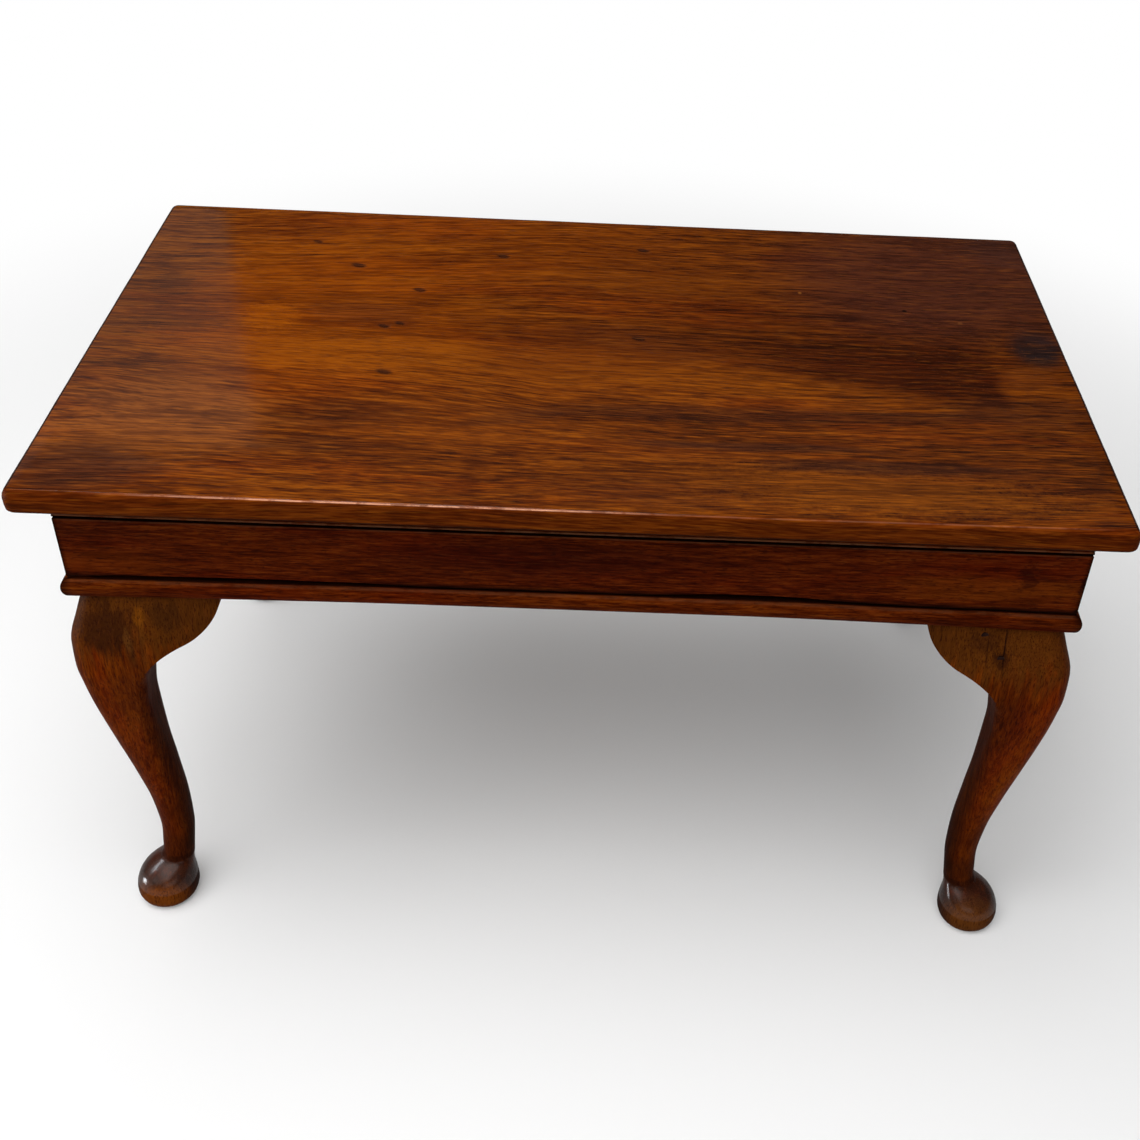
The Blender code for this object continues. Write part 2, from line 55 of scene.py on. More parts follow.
def deselectAll():
    if bpy.context.mode != "OBJECT":
        bpy.ops.object.mode_set(mode="OBJECT")
    bpy.ops.object.select_all(action="DESELECT")


def makeActive(obj):
    deselectAll()
    obj.select_set(True)
    bpy.context.view_layer.objects.active = obj


def startEdit(obj):
    makeActive(obj)
    bpy.ops.object.mode_set(mode="EDIT")
    return bmesh.from_edit_mesh(obj.data)


def pick(obj, kind, test):
    bpy.ops.mesh.select_mode(type=kind)
    bpy.ops.mesh.select_all(action="DESELECT")
    mesh = bmesh.from_edit_mesh(obj.data)
    for part in mesh.edges if kind == "EDGE" else mesh.faces:
        if test(part):
            part.select_set(True)
    mesh.select_flush_mode()
    bmesh.update_edit_mesh(obj.data)


def selectAll():
    bpy.ops.mesh.select_all(action="SELECT")


def pullOut(move):
    bpy.ops.mesh.extrude_region_move(TRANSFORM_OT_translate={"value": move})


def cutThrough(place, way, **more):
    selectAll()
    bpy.ops.mesh.bisect(plane_co=place, plane_no=way, **more)


def mergeDoubles():
    selectAll()
    bpy.ops.mesh.remove_doubles(threshold=0.00001)


def faceOut():
    # normals out, which ends an edit
    selectAll()
    bpy.ops.mesh.normals_make_consistent(inside=False)
    bpy.ops.object.mode_set(mode="OBJECT")


def smooth(angle):
    bpy.ops.object.shade_smooth_by_angle(angle=math.radians(angle))


def closeUp(obj, angle):
    # one closed skin, smooth where the faces run on
    startEdit(obj)
    mergeDoubles()
    faceOut()
    smooth(angle)
    return obj


def nudge(obj, move):
    # moves single points one by one, in object mode
    for vert in obj.data.vertices:
        vert.co += Vector(move(vert.co))
    obj.data.update()


def markPoints(obj, label, amount):
    # a painted share for each point, which the finish reads
    painted = obj.data.attributes.new(label, "FLOAT", "POINT")
    for vert in obj.data.vertices:
        painted.data[vert.index].value = amount(vert.co)


def copyPiece(obj, name, shift=(0, 0, 0), flip=(1, 1, 1), turn=0):
    twin = obj.copy()
    twin.data = obj.data.copy()
    twin.name = twin.data.name = name
    bpy.context.scene.collection.objects.link(twin)
    makeActive(twin)
    twin.location = shift
    twin.rotation_euler = (0, 0, turn)
    twin.scale = flip
    bpy.ops.object.transform_apply(location=True, rotation=True, scale=True)
    if flip[0] * flip[1] * flip[2] < 0:
        startEdit(twin)
        faceOut()
    return twin


def cutAway(obj, cutter):
    makeActive(obj)
    knife = obj.modifiers.new("cut", "BOOLEAN")
    knife.operation = "DIFFERENCE"
    knife.solver = "EXACT"
    knife.object = cutter
    bpy.ops.object.modifier_apply(modifier=knife.name)
    bpy.data.objects.remove(cutter)


def ease(low, high, where):
    # a soft step from 0 at the first place to 1 at the second
    t = min(max((where - low) / (high - low), 0), 1)
    return t * t * (3 - 2 * t)


def newest(name):
    obj = bpy.context.object
    obj.name = obj.data.name = name
    return obj


def startCircle(name, corners, radius=0.01):
    deselectAll()
    bpy.ops.mesh.primitive_circle_add(vertices=corners, radius=radius, fill_type="NGON")
    return newest(name)


def addCube(name, low, high):
    deselectAll()
    middle = [(a + b) / 2 for a, b in zip(low, high)]
    bpy.ops.mesh.primitive_cube_add(size=1, location=middle)
    obj = newest(name)
    obj.scale = [b - a for a, b in zip(low, high)]
    bpy.ops.object.transform_apply(location=True, rotation=True, scale=True)
    return obj


def secondFinish(obj, finish, test):
    # another finish on the faces that the test picks
    obj.data.materials.append(finish)
    for face in obj.data.polygons:
        if test(face):
            face.material_index = 1


def fit(obj, body, slotName, finish, *nodes):
    obj.data.materials.clear()
    obj.data.materials.append(finish)
    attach(obj, body)
    if nodes:
        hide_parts(*nodes)


def paint(red, green, blue):
    # a colour as it is picked on screen, 0 to 255
    shares = [value / 255 for value in (red, green, blue)]
    return (*[s / 12.92 if s < 0.0405 else ((s + 0.055) / 1.055) ** 2.4 for s in shares], 1)


def newFinish(name):
    made = bpy.data.materials.new(name)
    made.use_nodes = True
    return made, made.node_tree, made.node_tree.nodes["Principled BSDF"]


def plug(tree, socket, value):
    if isinstance(value, bpy.types.NodeSocket):
        tree.links.new(value, socket)
    else:
        socket.default_value = value


def addNode(tree, kind, inputs=None, output=0, **settings):
    made = tree.nodes.new("ShaderNode" + kind)
    for key, value in settings.items():
        setattr(made, key, value)
    for key, value in (inputs or {}).items():
        plug(tree, made.inputs[key], value)
    return made.outputs[output]


def mixPaint(tree, amount, under, over, blend="MIX"):
    return addNode(tree, "Mix", {0: amount, 6: under, 7: over}, 2, data_type="RGBA", blend_type=blend)


def maths(tree, operation, first, second=0, third=0):
    return addNode(tree, "Math", {0: first, 1: second, 2: third}, operation=operation)


def times(tree, first, second):
    return maths(tree, "MULTIPLY", first, second)


def vectors(tree, operation, *values, output=0):
    return addNode(tree, "VectorMath", dict(enumerate(values)), output, operation=operation)


def spread(tree, value, fromLow, fromHigh, toLow=0, toHigh=1, kind="SMOOTHSTEP"):
    inputs = {"Value": value, "From Min": fromLow, "From Max": fromHigh, "To Min": toLow, "To Max": toHigh}
    return addNode(tree, "MapRange", inputs, interpolation_type=kind)


def stretchedNoise(tree, vector, scale, detail=2, roughness=0.5, shift=(0, 0, 0), output=0):
    mapped = addNode(tree, "Mapping", {"Vector": vector, "Scale": scale, "Location": shift})
    inputs = {"Vector": mapped, "Scale": 1, "Detail": detail, "Roughness": roughness}
    return addNode(tree, "TexNoise", inputs, output)


def ramp(tree, value, stops):
    made = tree.nodes.new("ShaderNodeValToRGB")
    while len(made.color_ramp.elements) < len(stops):
        made.color_ramp.elements.new(1)
    for element, (position, colour) in zip(made.color_ramp.elements, stops):
        element.position = position
        element.color = colour
    plug(tree, made.inputs[0], value)
    return made.outputs[0]


def relief(tree, socket, strength, distance, height):
    inputs = {"Strength": strength, "Distance": distance, "Height": height}
    plug(tree, socket, addNode(tree, "Bump", inputs))


# the ways a board can run, as turns of its grain onto X
grainTurns = {
    "alongX": (0, 0, 0),
    "alongY": (0, 0, math.radians(-90)),
    "alongZ": (0, math.radians(90), 0),
}

# what all the wooden finishes share
plainWhite = paint(255, 255, 255)
midGrey = (0.5, 0.5, 0.5)
woodLook = {
    "flowReach": 0.25,
    "hueAt": (0.36, 0.5, 0.64),
    "zoneDrift": (0.3, 0.3, 0.3),
    "patchFade": (0.16, 0.66),
    "feather": {"fixed": 0.3, "plain": 0.25, "streaked": 1, "mottled": 1.5},
    "streakAt": (0.35, 0.6),
    "poreFade": 0.1,
    "fleckAt": (0.54, 0.7),
    "scuffScale": (70, 70, 70), "scuffAt": (0.38, 0.54, 0.35, 1),
    "dirtAndShadeDepth": 0.92, "dirtAndShadePaint": paint(15, 7, 4),
    "toneAt": (0.35, 0.65),
    "roughSteps": (0.06, -0.05),
    "reliefHeight": 0.0004,
    "rippleScale": (18, 60, 60), "ripplePores": -0.4,
}


def patchMask(tree, spot, broken, patch, feather):
    # an oval that fades out unevenly: place, half sizes, turn about Z
    centre, radii, turn = patch
    inputs = {"Vector": spot, "Location": centre, "Scale": radii, "Rotation": (0, 0, math.radians(turn))}
    local = addNode(tree, "Mapping", inputs, vector_type="TEXTURE")
    mask = addNode(tree, "TexGradient", {"Vector": local}, 1, gradient_type="SPHERICAL")
    mask = maths(tree, "MULTIPLY_ADD", broken, feather, mask)
    begin, end = woodLook["patchFade"]
    return spread(tree, mask, 0.5 * feather + begin, 0.5 * feather + end)


def zoneMask(tree, spot, planes):
    # the part of the top inside several straight soft edges: point, way in, softness
    mask = 1
    for x, y, turn, soft in planes:
        way = (math.cos(math.radians(turn)), math.sin(math.radians(turn)), 0)
        reach = vectors(tree, "DOT_PRODUCT", spot, way, output=1)
        edge = x * way[0] + y * way[1]
        mask = times(tree, mask, spread(tree, reach, edge - soft, edge + soft))
    return mask


def mahogany(name, look):
    made, tree, shader = newFinish(name)
    place = addNode(tree, "TexCoord", output=3)
    turned = {"Vector": place, "Rotation": grainTurns[look["grain"]], "Location": look["shift"]}
    straight = addNode(tree, "Mapping", turned)
    sway = stretchedNoise(tree, straight, look["swayScale"], 2, 0.5, (3, 1, 7), 1)
    sway = vectors(tree, "SUBTRACT", sway, midGrey)
    sway = vectors(tree, "MULTIPLY", sway, (0, look["sway"], look["sway"]))
    grain = vectors(tree, "ADD", straight, sway)
    if "flow" in look:
        # slope of the fibres for each place across the board, shown as greys around one half
        split = tree.nodes.new("ShaderNodeSeparateXYZ")
        plug(tree, split.inputs[0], straight)
        reach = woodLook["flowReach"]
        across = spread(tree, split.outputs[1], -reach, reach, 0, 1, "LINEAR")
        stops = [(y / (2 * reach) + 0.5, (*[0.5 + slope] * 3, 1)) for y, slope in look["flow"]]
        slope = maths(tree, "SUBTRACT", ramp(tree, across, stops), 0.5)
        begin, end = look["flowSpan"]
        along = spread(tree, split.outputs[0], begin, end, begin - end, 0, "LINEAR")
        shear = times(tree, times(tree, along, slope), -1)
        shear = addNode(tree, "CombineXYZ", {1: shear})
        grain = vectors(tree, "ADD", grain, shear)

    # broad figure, bands, streaks and fibres add up to one tone
    tone = 0.5 * (1 - sum(share for share, *_ in look["layers"]))
    for number, (share, scale, detail, roughness) in enumerate(look["layers"]):
        found = stretchedNoise(tree, grain, scale, detail, roughness, (number * 5.3, 2.1, 0.7))
        tone = maths(tree, "MULTIPLY_ADD", found, share, tone)
    lean = vectors(tree, "DOT_PRODUCT", place, look["lean"], output=1)
    colour = ramp(tree, maths(tree, "ADD", tone, lean), look["stops"])

    # redder and yellower stretches
    hue = stretchedNoise(tree, grain, look["hueScale"], 3, 0.6, (4, 7, 1))
    hues = (look["hueLow"], plainWhite, look["hueHigh"])
    hue = ramp(tree, hue, list(zip(woodLook["hueAt"], hues)))
    colour = mixPaint(tree, 1, colour, hue, "MULTIPLY")

    # stains and figure of other colour, drawn out along the grain, with some painted sheen and shade among
    # them
    drift = stretchedNoise(tree, grain, look["driftScale"], 3, 0.6, (9, 4, 2), 1)
    drift = vectors(tree, "SUBTRACT", drift, midGrey)
    drift = vectors(tree, "MULTIPLY", drift, look["drift"])
    drifted = vectors(tree, "ADD", place, drift)
    nearby = vectors(tree, "MULTIPLY_ADD", drift, woodLook["zoneDrift"], place)
    for planes, zonePaint, strength in look["zones"]:
        mask = times(tree, zoneMask(tree, nearby, planes), strength)
        colour = mixPaint(tree, mask, colour, zonePaint, "MULTIPLY")
    streaky = stretchedNoise(tree, grain, look["breakScale"], 3, 0.65, (2, 6, 5))
    mottled = stretchedNoise(tree, place, look["mottleScale"], 3, 0.7, (8, 3, 1))
    for centre, radii, turn, patchPaint, strength, kind in look["patches"]:
        broken = mottled if kind == "mottled" else streaky
        spot = place if kind == "fixed" else drifted
        mask = patchMask(tree, spot, broken, (centre, radii, turn), woodLook["feather"][kind])
        colour = mixPaint(tree, times(tree, mask, strength), colour, patchPaint)
    over = ramp(tree, tone, list(zip(woodLook["streakAt"], (look["streakDark"], plainWhite))))
    colour = mixPaint(tree, look["streakOver"], colour, over, "MULTIPLY")

    # open pores: short dark dashes, and paler flecks between them
    pores = stretchedNoise(tree, grain, look["poreScale"], 2, 0.5, (1.7, 8, 3))
    pores = spread(tree, pores, look["poreFrom"], look["poreFrom"] + woodLook["poreFade"])
    colour = mixPaint(tree, times(tree, pores, look["poreDepth"]), colour, look["porePaint"])
    flecks = stretchedNoise(tree, grain, look["fleckScale"], 2, 0.6, (6, 2, 9))
    flecks = spread(tree, flecks, *woodLook["fleckAt"], 0, look["fleckDepth"])
    colour = mixPaint(tree, flecks, colour, look["fleckPaint"], "SCREEN")

    # worn edges with painted highlights, and dirt in the joints with painted shade, marked on the points of
    # each piece
    wear_and_highlight = addNode(tree, "Attribute", output=2, attribute_name="wear_and_highlight")
    scuffs = stretchedNoise(tree, place, woodLook["scuffScale"], 4, 0.65)
    wear_and_highlight = times(tree, wear_and_highlight, spread(tree, scuffs, *woodLook["scuffAt"]))
    colour = mixPaint(tree, times(tree, wear_and_highlight, look["wearAndHighlightDepth"]), colour, look["wearAndHighlightPaint"])
    dirt_and_shade = addNode(tree, "Attribute", output=2, attribute_name="dirt_and_shade")
    colour = mixPaint(tree, times(tree, dirt_and_shade, woodLook["dirtAndShadeDepth"]), colour, woodLook["dirtAndShadePaint"])
    plug(tree, shader.inputs["Base Color"], colour)

    # finish: worn polish over the wood
    inDark, inPale = [look["roughness"] + step for step in woodLook["roughSteps"]]
    roughness = spread(tree, tone, *woodLook["toneAt"], inDark, inPale, "LINEAR")
    plug(tree, shader.inputs["Roughness"], roughness)
    height = maths(tree, "MULTIPLY_ADD", pores, -1, tone)
    relief(tree, shader.inputs["Normal"], look["bump"], woodLook["reliefHeight"], height)
    ripple = stretchedNoise(tree, grain, woodLook["rippleScale"], 3, 0.6, (2, 2, 2))
    ripple = maths(tree, "MULTIPLY_ADD", pores, woodLook["ripplePores"], ripple)
    relief(tree, shader.inputs["Coat Normal"], look["ripple"], woodLook["reliefHeight"], ripple)
    shader.inputs["Specular IOR Level"].default_value = look["gloss"]
    shader.inputs["Specular Tint"].default_value = look["glossTint"]
    shader.inputs["Coat Weight"].default_value = look["polish"]
    shader.inputs["Coat Roughness"].default_value = look["polishRoughness"]
    return made


# lid board: sizes and wear
lidBoard = {
    "corner": 0.006, "cornerSteps": 6,
    "topRound": 0.0026,
    "lowRound": 0.0028,
    "roundSteps": 5,
    "rows": (0.006, 0.008, 0.01, 0.012, 0.014),
    "grid": 0.013,
    "smooth": 25,
    "edgeBand": 0.003,
    "wave": 0.00022, "waveScale": (26, 26, 40),
    "faceBand": 0.006,
    "bulge": 0.0026, "bulgeDepth": 0.007, "bulgeFoot": 0.2, "bulgeFront": (-0.18, -0.37),
    "wornBack": 0.002, "wornDepth": 0.0035, "wornSpan": (0.1, 0.36),
    "coatEdge": 0.0023, "coatDepth": 0.003,
    "dentGrid": ((2.6, 3), (1.6, 2)), "dentSquash": 1.5,
    "dents": [  # place, width and depth
        (-0.2025, 0.1082, 0.0085, 0.0006),
        (-0.08, 0.1357, 0.008, 0.0005),
        (0.044, 0.1567, 0.008, 0.0005),
        (-0.166, 0.0085, 0.007, 0.0006),
        (-0.154, 0.014, 0.006, 0.0005),
        (-0.156, -0.0593, 0.009, 0.0007),
        (-0.145, 0.0697, 0.0075, 0.0005),
        (-0.245, 0.1482, 0.0065, 0.0004),
        (0.041, 0.0047, 0.008, 0.0004),
    ],
}
# pale arrises of the lid, worn and with a painted highlight, and dark ones with painted shade
lidArrisWearAndLight = {
    "paleLine": (0.0003, 0.0008), "paleBand": 0.005, "paleRight": 0.12, "paleMiddle": (0.07, -0.03),
    "paleStart": (-0.34, -0.2), "paleEnd": (0.385, 0.33),
    "darkBand": 0.004, "darkSides": (0.0032, 0.0016), "darkFoot": (0.003, 0.0016), "darkFootDepth": 0.85,
}

# lid: amber at the left, a plum cloud with a straight end at the right, gold along the front
plum = paint(54, 25, 13)
smoke = paint(60, 32, 20)
amber = paint(137, 64, 2)
gold = paint(132, 68, 5)
russet = paint(94, 36, 4)
ember = paint(98, 43, 4)
lidTop = 0.46
lidPatches = [  # place, half sizes, turn, colour, strength, kind
    (0.368, 0.014, 0.036, 0.046, 0, paint(30, 22, 23), 0.95, "plain"),
    (0.215, -0.188, 0.18, 0.04, -2, paint(142, 77, 13), 0.34, "mottled"),
    (0.06, -0.2, 0.12, 0.03, 0, paint(82, 38, 12), 0.35, "mottled"),
    (0.09, -0.18, 0.16, 0.03, 0, gold, 0.15, "mottled"),
    (0.06, -0.048, 0.27, 0.026, -4, gold, 0.18, "streaked"),
    (0.31, 0.13, 0.24, 0.17, 0, paint(70, 35, 27), 0.55, "plain"),
    (-0.01, -0.02, 0.15, 0.07, 0, ember, 0.6, "streaked"),
    (0.354, -0.03, 0.032, 0.034, 0, paint(106, 52, 12), 0.45, "plain"),
    (0.335, -0.085, 0.11, 0.036, 0, plum, 0.4, "streaked"),
    (-0.22, 0.02, 0.19, 0.19, 0, amber, 0.45, "streaked"),
    (-0.262, 0.018, 0.034, 0.034, 0, paint(160, 82, 4), 0.42, "mottled"),
    (-0.165, -0.025, 0.11, 0.05, 0, gold, 0.28, "streaked"),
    (0.03, 0.105, 0.16, 0.06, 0, paint(92, 42, 5), 0.4, "streaked"),
    (-0.13, 0.14, 0.28, 0.09, 8, amber, 0.24, "streaked"),
    (-0.27, 0.18, 0.09, 0.05, 6, russet, 0.28, "streaked"),
    (-0.105, -0.125, 0.13, 0.055, 0, paint(128, 62, 8), 0.42, "streaked"),
    # painted sheen: the front left is painted greyer where the window's sheen runs on
    (-0.31, -0.13, 0.13, 0.095, 0, paint(126, 70, 26), 0.5, "streaked"),
    (0.135, -0.098, 0.34, 0.016, 2, plum, 0.46, "streaked"),
    (-0.06, -0.118, 0.08, 0.012, 14, plum, 0.4, "streaked"),
    (0.12, -0.141, 0.13, 0.011, 1, plum, 0.75, "streaked"),
    (0.235, -0.161, 0.15, 0.013, 1, plum, 0.75, "streaked"),
    (-0.345, -0.19, 0.08, 0.044, 0, smoke, 0.65, "streaked"),
    (-0.35, 0.066, 0.03, 0.026, 0, plum, 0.35, "mottled"),
    (-0.335, 0.01, 0.06, 0.036, 0, plum, 0.35, "mottled"),
    (-0.175, -0.117, 0.08, 0.026, 0, plum, 0.32, "streaked"),
    (-0.195, -0.157, 0.055, 0.02, 0, plum, 0.38, "streaked"),
    (-0.185, 0.027, 0.075, 0.032, 0, smoke, 0.3, "streaked"),
    (0.04, 0, 0.095, 0.04, -12, plum, 0.3, "streaked"),
    (0.372, 0.19, 0.06, 0.06, 0, paint(58, 34, 29), 0.45, "streaked"),
    (0.1785, 0.0922, 0.0026, 0.003, 0, paint(140, 86, 36), 0.9, "fixed"),
    (0.311, 0.0517, 0.0034, 0.0034, 0, paint(104, 60, 32), 0.8, "fixed"),
    (0.266, 0.0682, 0.0034, 0.003, 0, paint(20, 8, 6), 1, "fixed"),
]
# each dent gets a dark oval painted just behind it
dentMark = {"shift": 0.001, "wide": 1.2, "deep": 0.62, "turn": -14, "paint": paint(34, 14, 7), "depth": 0.8}
for x, y, size, _ in lidBoard["dents"]:
    spot = (x - dentMark["shift"], y + dentMark["shift"])
    oval = (dentMark["wide"] * size, dentMark["deep"] * size)
    lidPatches.append((*spot, *oval, dentMark["turn"], dentMark["paint"], dentMark["depth"], "fixed"))


def onTop(x, y, wide, deep, *others):
    return (x, y, lidTop), (wide, deep, 1), *others


lidLook = {
    "grain": "alongX",
    "shift": (0, 0, 0),
    "sway": 0.034, "swayScale": (2.2, 3.6, 3.6),
    "flow": [  # place across the board, slope of the fibres
        (-0.22, 0), (-0.14, -0.03), (-0.08, -0.12), (-0.03, -0.09), (0.02, 0), (0.08, 0.1), (0.2, 0.08),
    ],
    "flowSpan": (-0.36, -0.03),
    "layers": [
        (0.28, (1.6, 10, 10), 2, 0.5),
        (0.3, (3.2, 36, 36), 3, 0.55),
        (0.34, (6.5, 130, 130), 3, 0.6),
        (0.72, (17, 330, 330), 3, 0.65),
        (0.7, (48, 760, 760), 2, 0.6),
    ],
    "lean": (-0.2, 0.02, 0),
    "stops": [
        (0.24, paint(54, 22, 4)),
        (0.42, paint(88, 39, 4)),
        (0.55, paint(105, 48, 4)),
        (0.74, paint(134, 68, 7)),
    ],
    "hueScale": (4, 22, 22), "hueLow": paint(250, 230, 214), "hueHigh": paint(255, 255, 238),
    "streakDark": paint(190, 170, 150), "streakOver": 0.8,
    "breakScale": (9, 110, 110),
    "mottleScale": (190, 300, 190),
    "driftScale": (4, 16, 16), "drift": (0.05, 0.018, 0),
    "zones": [
        # painted sheen: left of the line where the back window's reflection ends, the wood is painted greyer
        # and darker, except near the front
        ([(-0.29, 0.03, 195.6, 0.008), (0, -0.115, 90, 0.04)], paint(214, 222, 255), 0.9),
        ([(0.19, 0, 0, 0.16), (0, 0.01, 90, 0.1)], paint(200, 200, 250), 0.9),
        ([(0.326, 0, 182, 0.007), (0.22, -0.054, 77, 0.012), (0.09, 0, 0, 0.15), (0, 0.1, 270, 0.1)],
         paint(206, 196, 236), 0.9),
        ([(0.326, 0, 182, 0.007), (0.22, -0.054, 77, 0.012), (0.1, 0, 0, 0.12), (0.2, 0, 257, 0.03)],
         paint(192, 178, 206), 0.95),
    ],
    "patches": [onTop(*patch) for patch in lidPatches],
    "poreScale": (55, 760, 760), "poreFrom": 0.56, "poreDepth": 0.45, "porePaint": paint(40, 15, 5),
    "fleckScale": (34, 420, 420), "fleckDepth": 0.85, "fleckPaint": paint(72, 36, 3),
    "wearAndHighlightDepth": 0.85, "wearAndHighlightPaint": paint(236, 170, 134),
    "roughness": 0.42,
    "bump": 0.35,
    "ripple": 0.05,
    "gloss": 0.012, "glossTint": paint(255, 200, 150),
    "polish": 0.8, "polishRoughness": 0.085,
}
lidFinish = mahogany("lid_mahogany", lidLook)
edgeLook = {
    **lidLook,
    "lean": (0, 0, 0),
    "stops": [(0.3, paint(76, 29, 5)), (0.5, paint(98, 41, 7)), (0.74, paint(118, 56, 12))],
    "streakOver": 0.55,
    "zones": [],
    "patches": [],
    "gloss": 0.008,
    "polish": 0,
}
lidEdgeFinish = mahogany("lid_mahogany_edge", edgeLook)


def tones(*paints):
    # the same four steps from dark to pale for all but the lid
    return [(step, paint(*picked)) for step, picked in zip((0.28, 0.44, 0.58, 0.76), paints)]


# box boards: darker and redder, nearly plain
boxLook = {
    "grain": "alongX",
    "shift": (1.3, 0.4, 0.2),
    "sway": 0.006, "swayScale": (4, 12, 12),
    "layers": [
        (0.28, (3, 22, 22), 3, 0.5),
        (0.42, (9, 130, 130), 4, 0.6),
        (0.85, (44, 560, 560), 3, 0.65),
    ],
    "lean": (0, 0, 0),
    "stops": tones((46, 12, 3), (72, 22, 5), (92, 33, 7), (114, 50, 12)),
    "hueScale": (6, 30, 30), "hueLow": paint(255, 222, 205), "hueHigh": paint(255, 255, 225),
    "streakDark": paint(190, 180, 176), "streakOver": 0.6,
    "breakScale": (14, 150, 150),
    "mottleScale": (260, 260, 260),
    "driftScale": (9, 40, 40), "drift": (0.03, 0, 0.01),
    "zones": [],
    "patches": [
        ((-0.02, -0.208, 0.402), (0.19, 0.03, 0.028), 0, paint(56, 15, 6), 0.6, "streaked"),
        ((0.3, -0.208, 0.388), (0.12, 0.03, 0.02), 0, paint(112, 50, 8), 0.6, "streaked"),
        ((0.3235, -0.208, 0.402), (0.008, 0.03, 0.022), 0, paint(36, 7, 6), 0.6, "mottled"),
        ((0.365, -0.208, 0.395), (0.008, 0.03, 0.012), 0, paint(34, 6, 5), 0.85, "mottled"),
        ((-0.34, -0.208, 0.385), (0.1, 0.03, 0.022), 0, paint(110, 46, 6), 0.4, "streaked"),
    ],
    "poreScale": (150, 1200, 1200), "poreFrom": 0.54, "poreDepth": 0.6, "porePaint": paint(34, 8, 4),
    "fleckScale": (70, 640, 640), "fleckDepth": 0.5, "fleckPaint": paint(60, 26, 8),
    "wearAndHighlightDepth": 0.6, "wearAndHighlightPaint": paint(128, 84, 56),
    "roughness": 0.48,
    "bump": 0.35,
    "ripple": 0.1,
    "gloss": 0.008, "glossTint": paint(255, 190, 140),
    "polish": 0, "polishRoughness": 0.25,
}
boxFinish = mahogany("box_mahogany_long", boxLook)
endLook = {**boxLook, "grain": "alongY", "shift": (0.2, 2.3, 0.6), "patches": []}
boxEndFinish = mahogany("box_mahogany_short", endLook)

# stand: moulding, legs and ears, brown at the knee and orange below it
frameLook = {
    **boxLook,
    "shift": (2.9, 0.1, 0.5),
    "patches": [],
    "stops": tones((52, 14, 2), (78, 26, 3), (96, 37, 6), (118, 56, 14)),
}
frameFinish = mahogany("moulding_mahogany_long", frameLook)
frameEndLook = {**frameLook, "grain": "alongY", "shift": (0.7, 3.1, 0.6)}
frameEndFinish = mahogany("moulding_mahogany_short", frameEndLook)

legLook = {
    **boxLook,
    "grain": "alongZ",
    "shift": (0.4, 1.9, 3.3),
    "sway": 0.014, "swayScale": (5, 12, 12),
    "layers": [
        (0.3, (4, 26, 26), 3, 0.5),
        (0.3, (9, 130, 130), 4, 0.6),
        (0.6, (44, 560, 560), 3, 0.65),
    ],
    "stops": tones((62, 20, 1), (98, 36, 2), (121, 52, 4), (142, 72, 9)),
    "driftScale": (20, 50, 50), "drift": (0.006, 0.006, 0.02),
    "patches": [
        ((0, 0, 0.352), (3, 3, 0.085), 0, paint(82, 46, 14), 0.8, "streaked"),
        ((-0.346, -0.216, 0.326), (0.034, 0.03, 0.038), 0, paint(46, 20, 8), 0.75, "streaked"),
        ((-0.32, -0.216, 0.334), (0.007, 0.02, 0.016), 0, paint(128, 70, 12), 0.7, "streaked"),
        ((-0.331, -0.216, 0.318), (0.005, 0.02, 0.016), 0, paint(110, 66, 26), 0.45, "streaked"),
        ((-0.3, -0.214, 0.338), (0.024, 0.02, 0.018), 0, paint(50, 26, 10), 0.55, "streaked"),
        ((0.304, -0.214, 0.34), (0.018, 0.02, 0.014), 0, paint(44, 20, 10), 0.5, "mottled"),
        ((0.319, -0.214, 0.328), (0.01, 0.02, 0.01), 0, paint(44, 20, 10), 0.6, "mottled"),
        ((0.3205, -0.214, 0.336), (0.0011, 0.02, 0.034), 0, paint(24, 10, 6), 0.9, "fixed"),
        ((0.308, -0.214, 0.336), (0.0009, 0.02, 0.024), 4, paint(24, 10, 6), 0.5, "fixed"),
        ((0, 0, 0.075), (3, 3, 0.075), 0, paint(68, 24, 3), 0.55, "streaked"),
        ((0, 0, 0.046), (3, 3, 0.036), 0, paint(60, 25, 7), 0.6, "streaked"),
        ((0, 0, 0.016), (3, 3, 0.034), 0, paint(44, 28, 23), 0.95, "fixed"),
        # a painted shadow in the crease where the ankle meets the foot
        ((0, 0, 0.0405), (3, 3, 0.007), 0, paint(28, 12, 8), 0.6, "fixed"),
        ((-0.351, -0.226, 0.013), (0.042, 0.044, 0.026), 0, paint(122, 62, 14), 0.9, "plain"),
        ((0.351, -0.226, 0.015), (0.042, 0.044, 0.032), 0, paint(108, 60, 20), 0.85, "plain"),
    ],
}
legFinish = mahogany("leg_mahogany_tall", legLook)
footLook = {**legLook, "roughness": 0.4, "gloss": 0.05, "polish": 0.25, "polishRoughness": 0.19}
footFinish = mahogany("foot_mahogany", footLook)

# floor of the box: plain plywood
boardLook = {
    **boxLook,
    "shift": (0.1, 5.2, 0.3),
    "patches": [],
    "stops": tones((120, 82, 46), (146, 104, 62), (160, 118, 74), (172, 134, 90)),
    "hueLow": paint(255, 242, 232),
    "porePaint": paint(92, 58, 30), "poreDepth": 0.35,
    "roughness": 0.62,
}
boardFinish = mahogany("floor_board_plywood", boardLook)

# what all the metals share
metalLook = {
    "stainScale": (160, 160, 160), "stainAt": (0.36, 0.56),
    "roughAt": (0.35, 0.65),
    "brushScale": (300, 2600, 2600),
    "brushed": 0.12,
    "brushHeight": 0.0001,
}


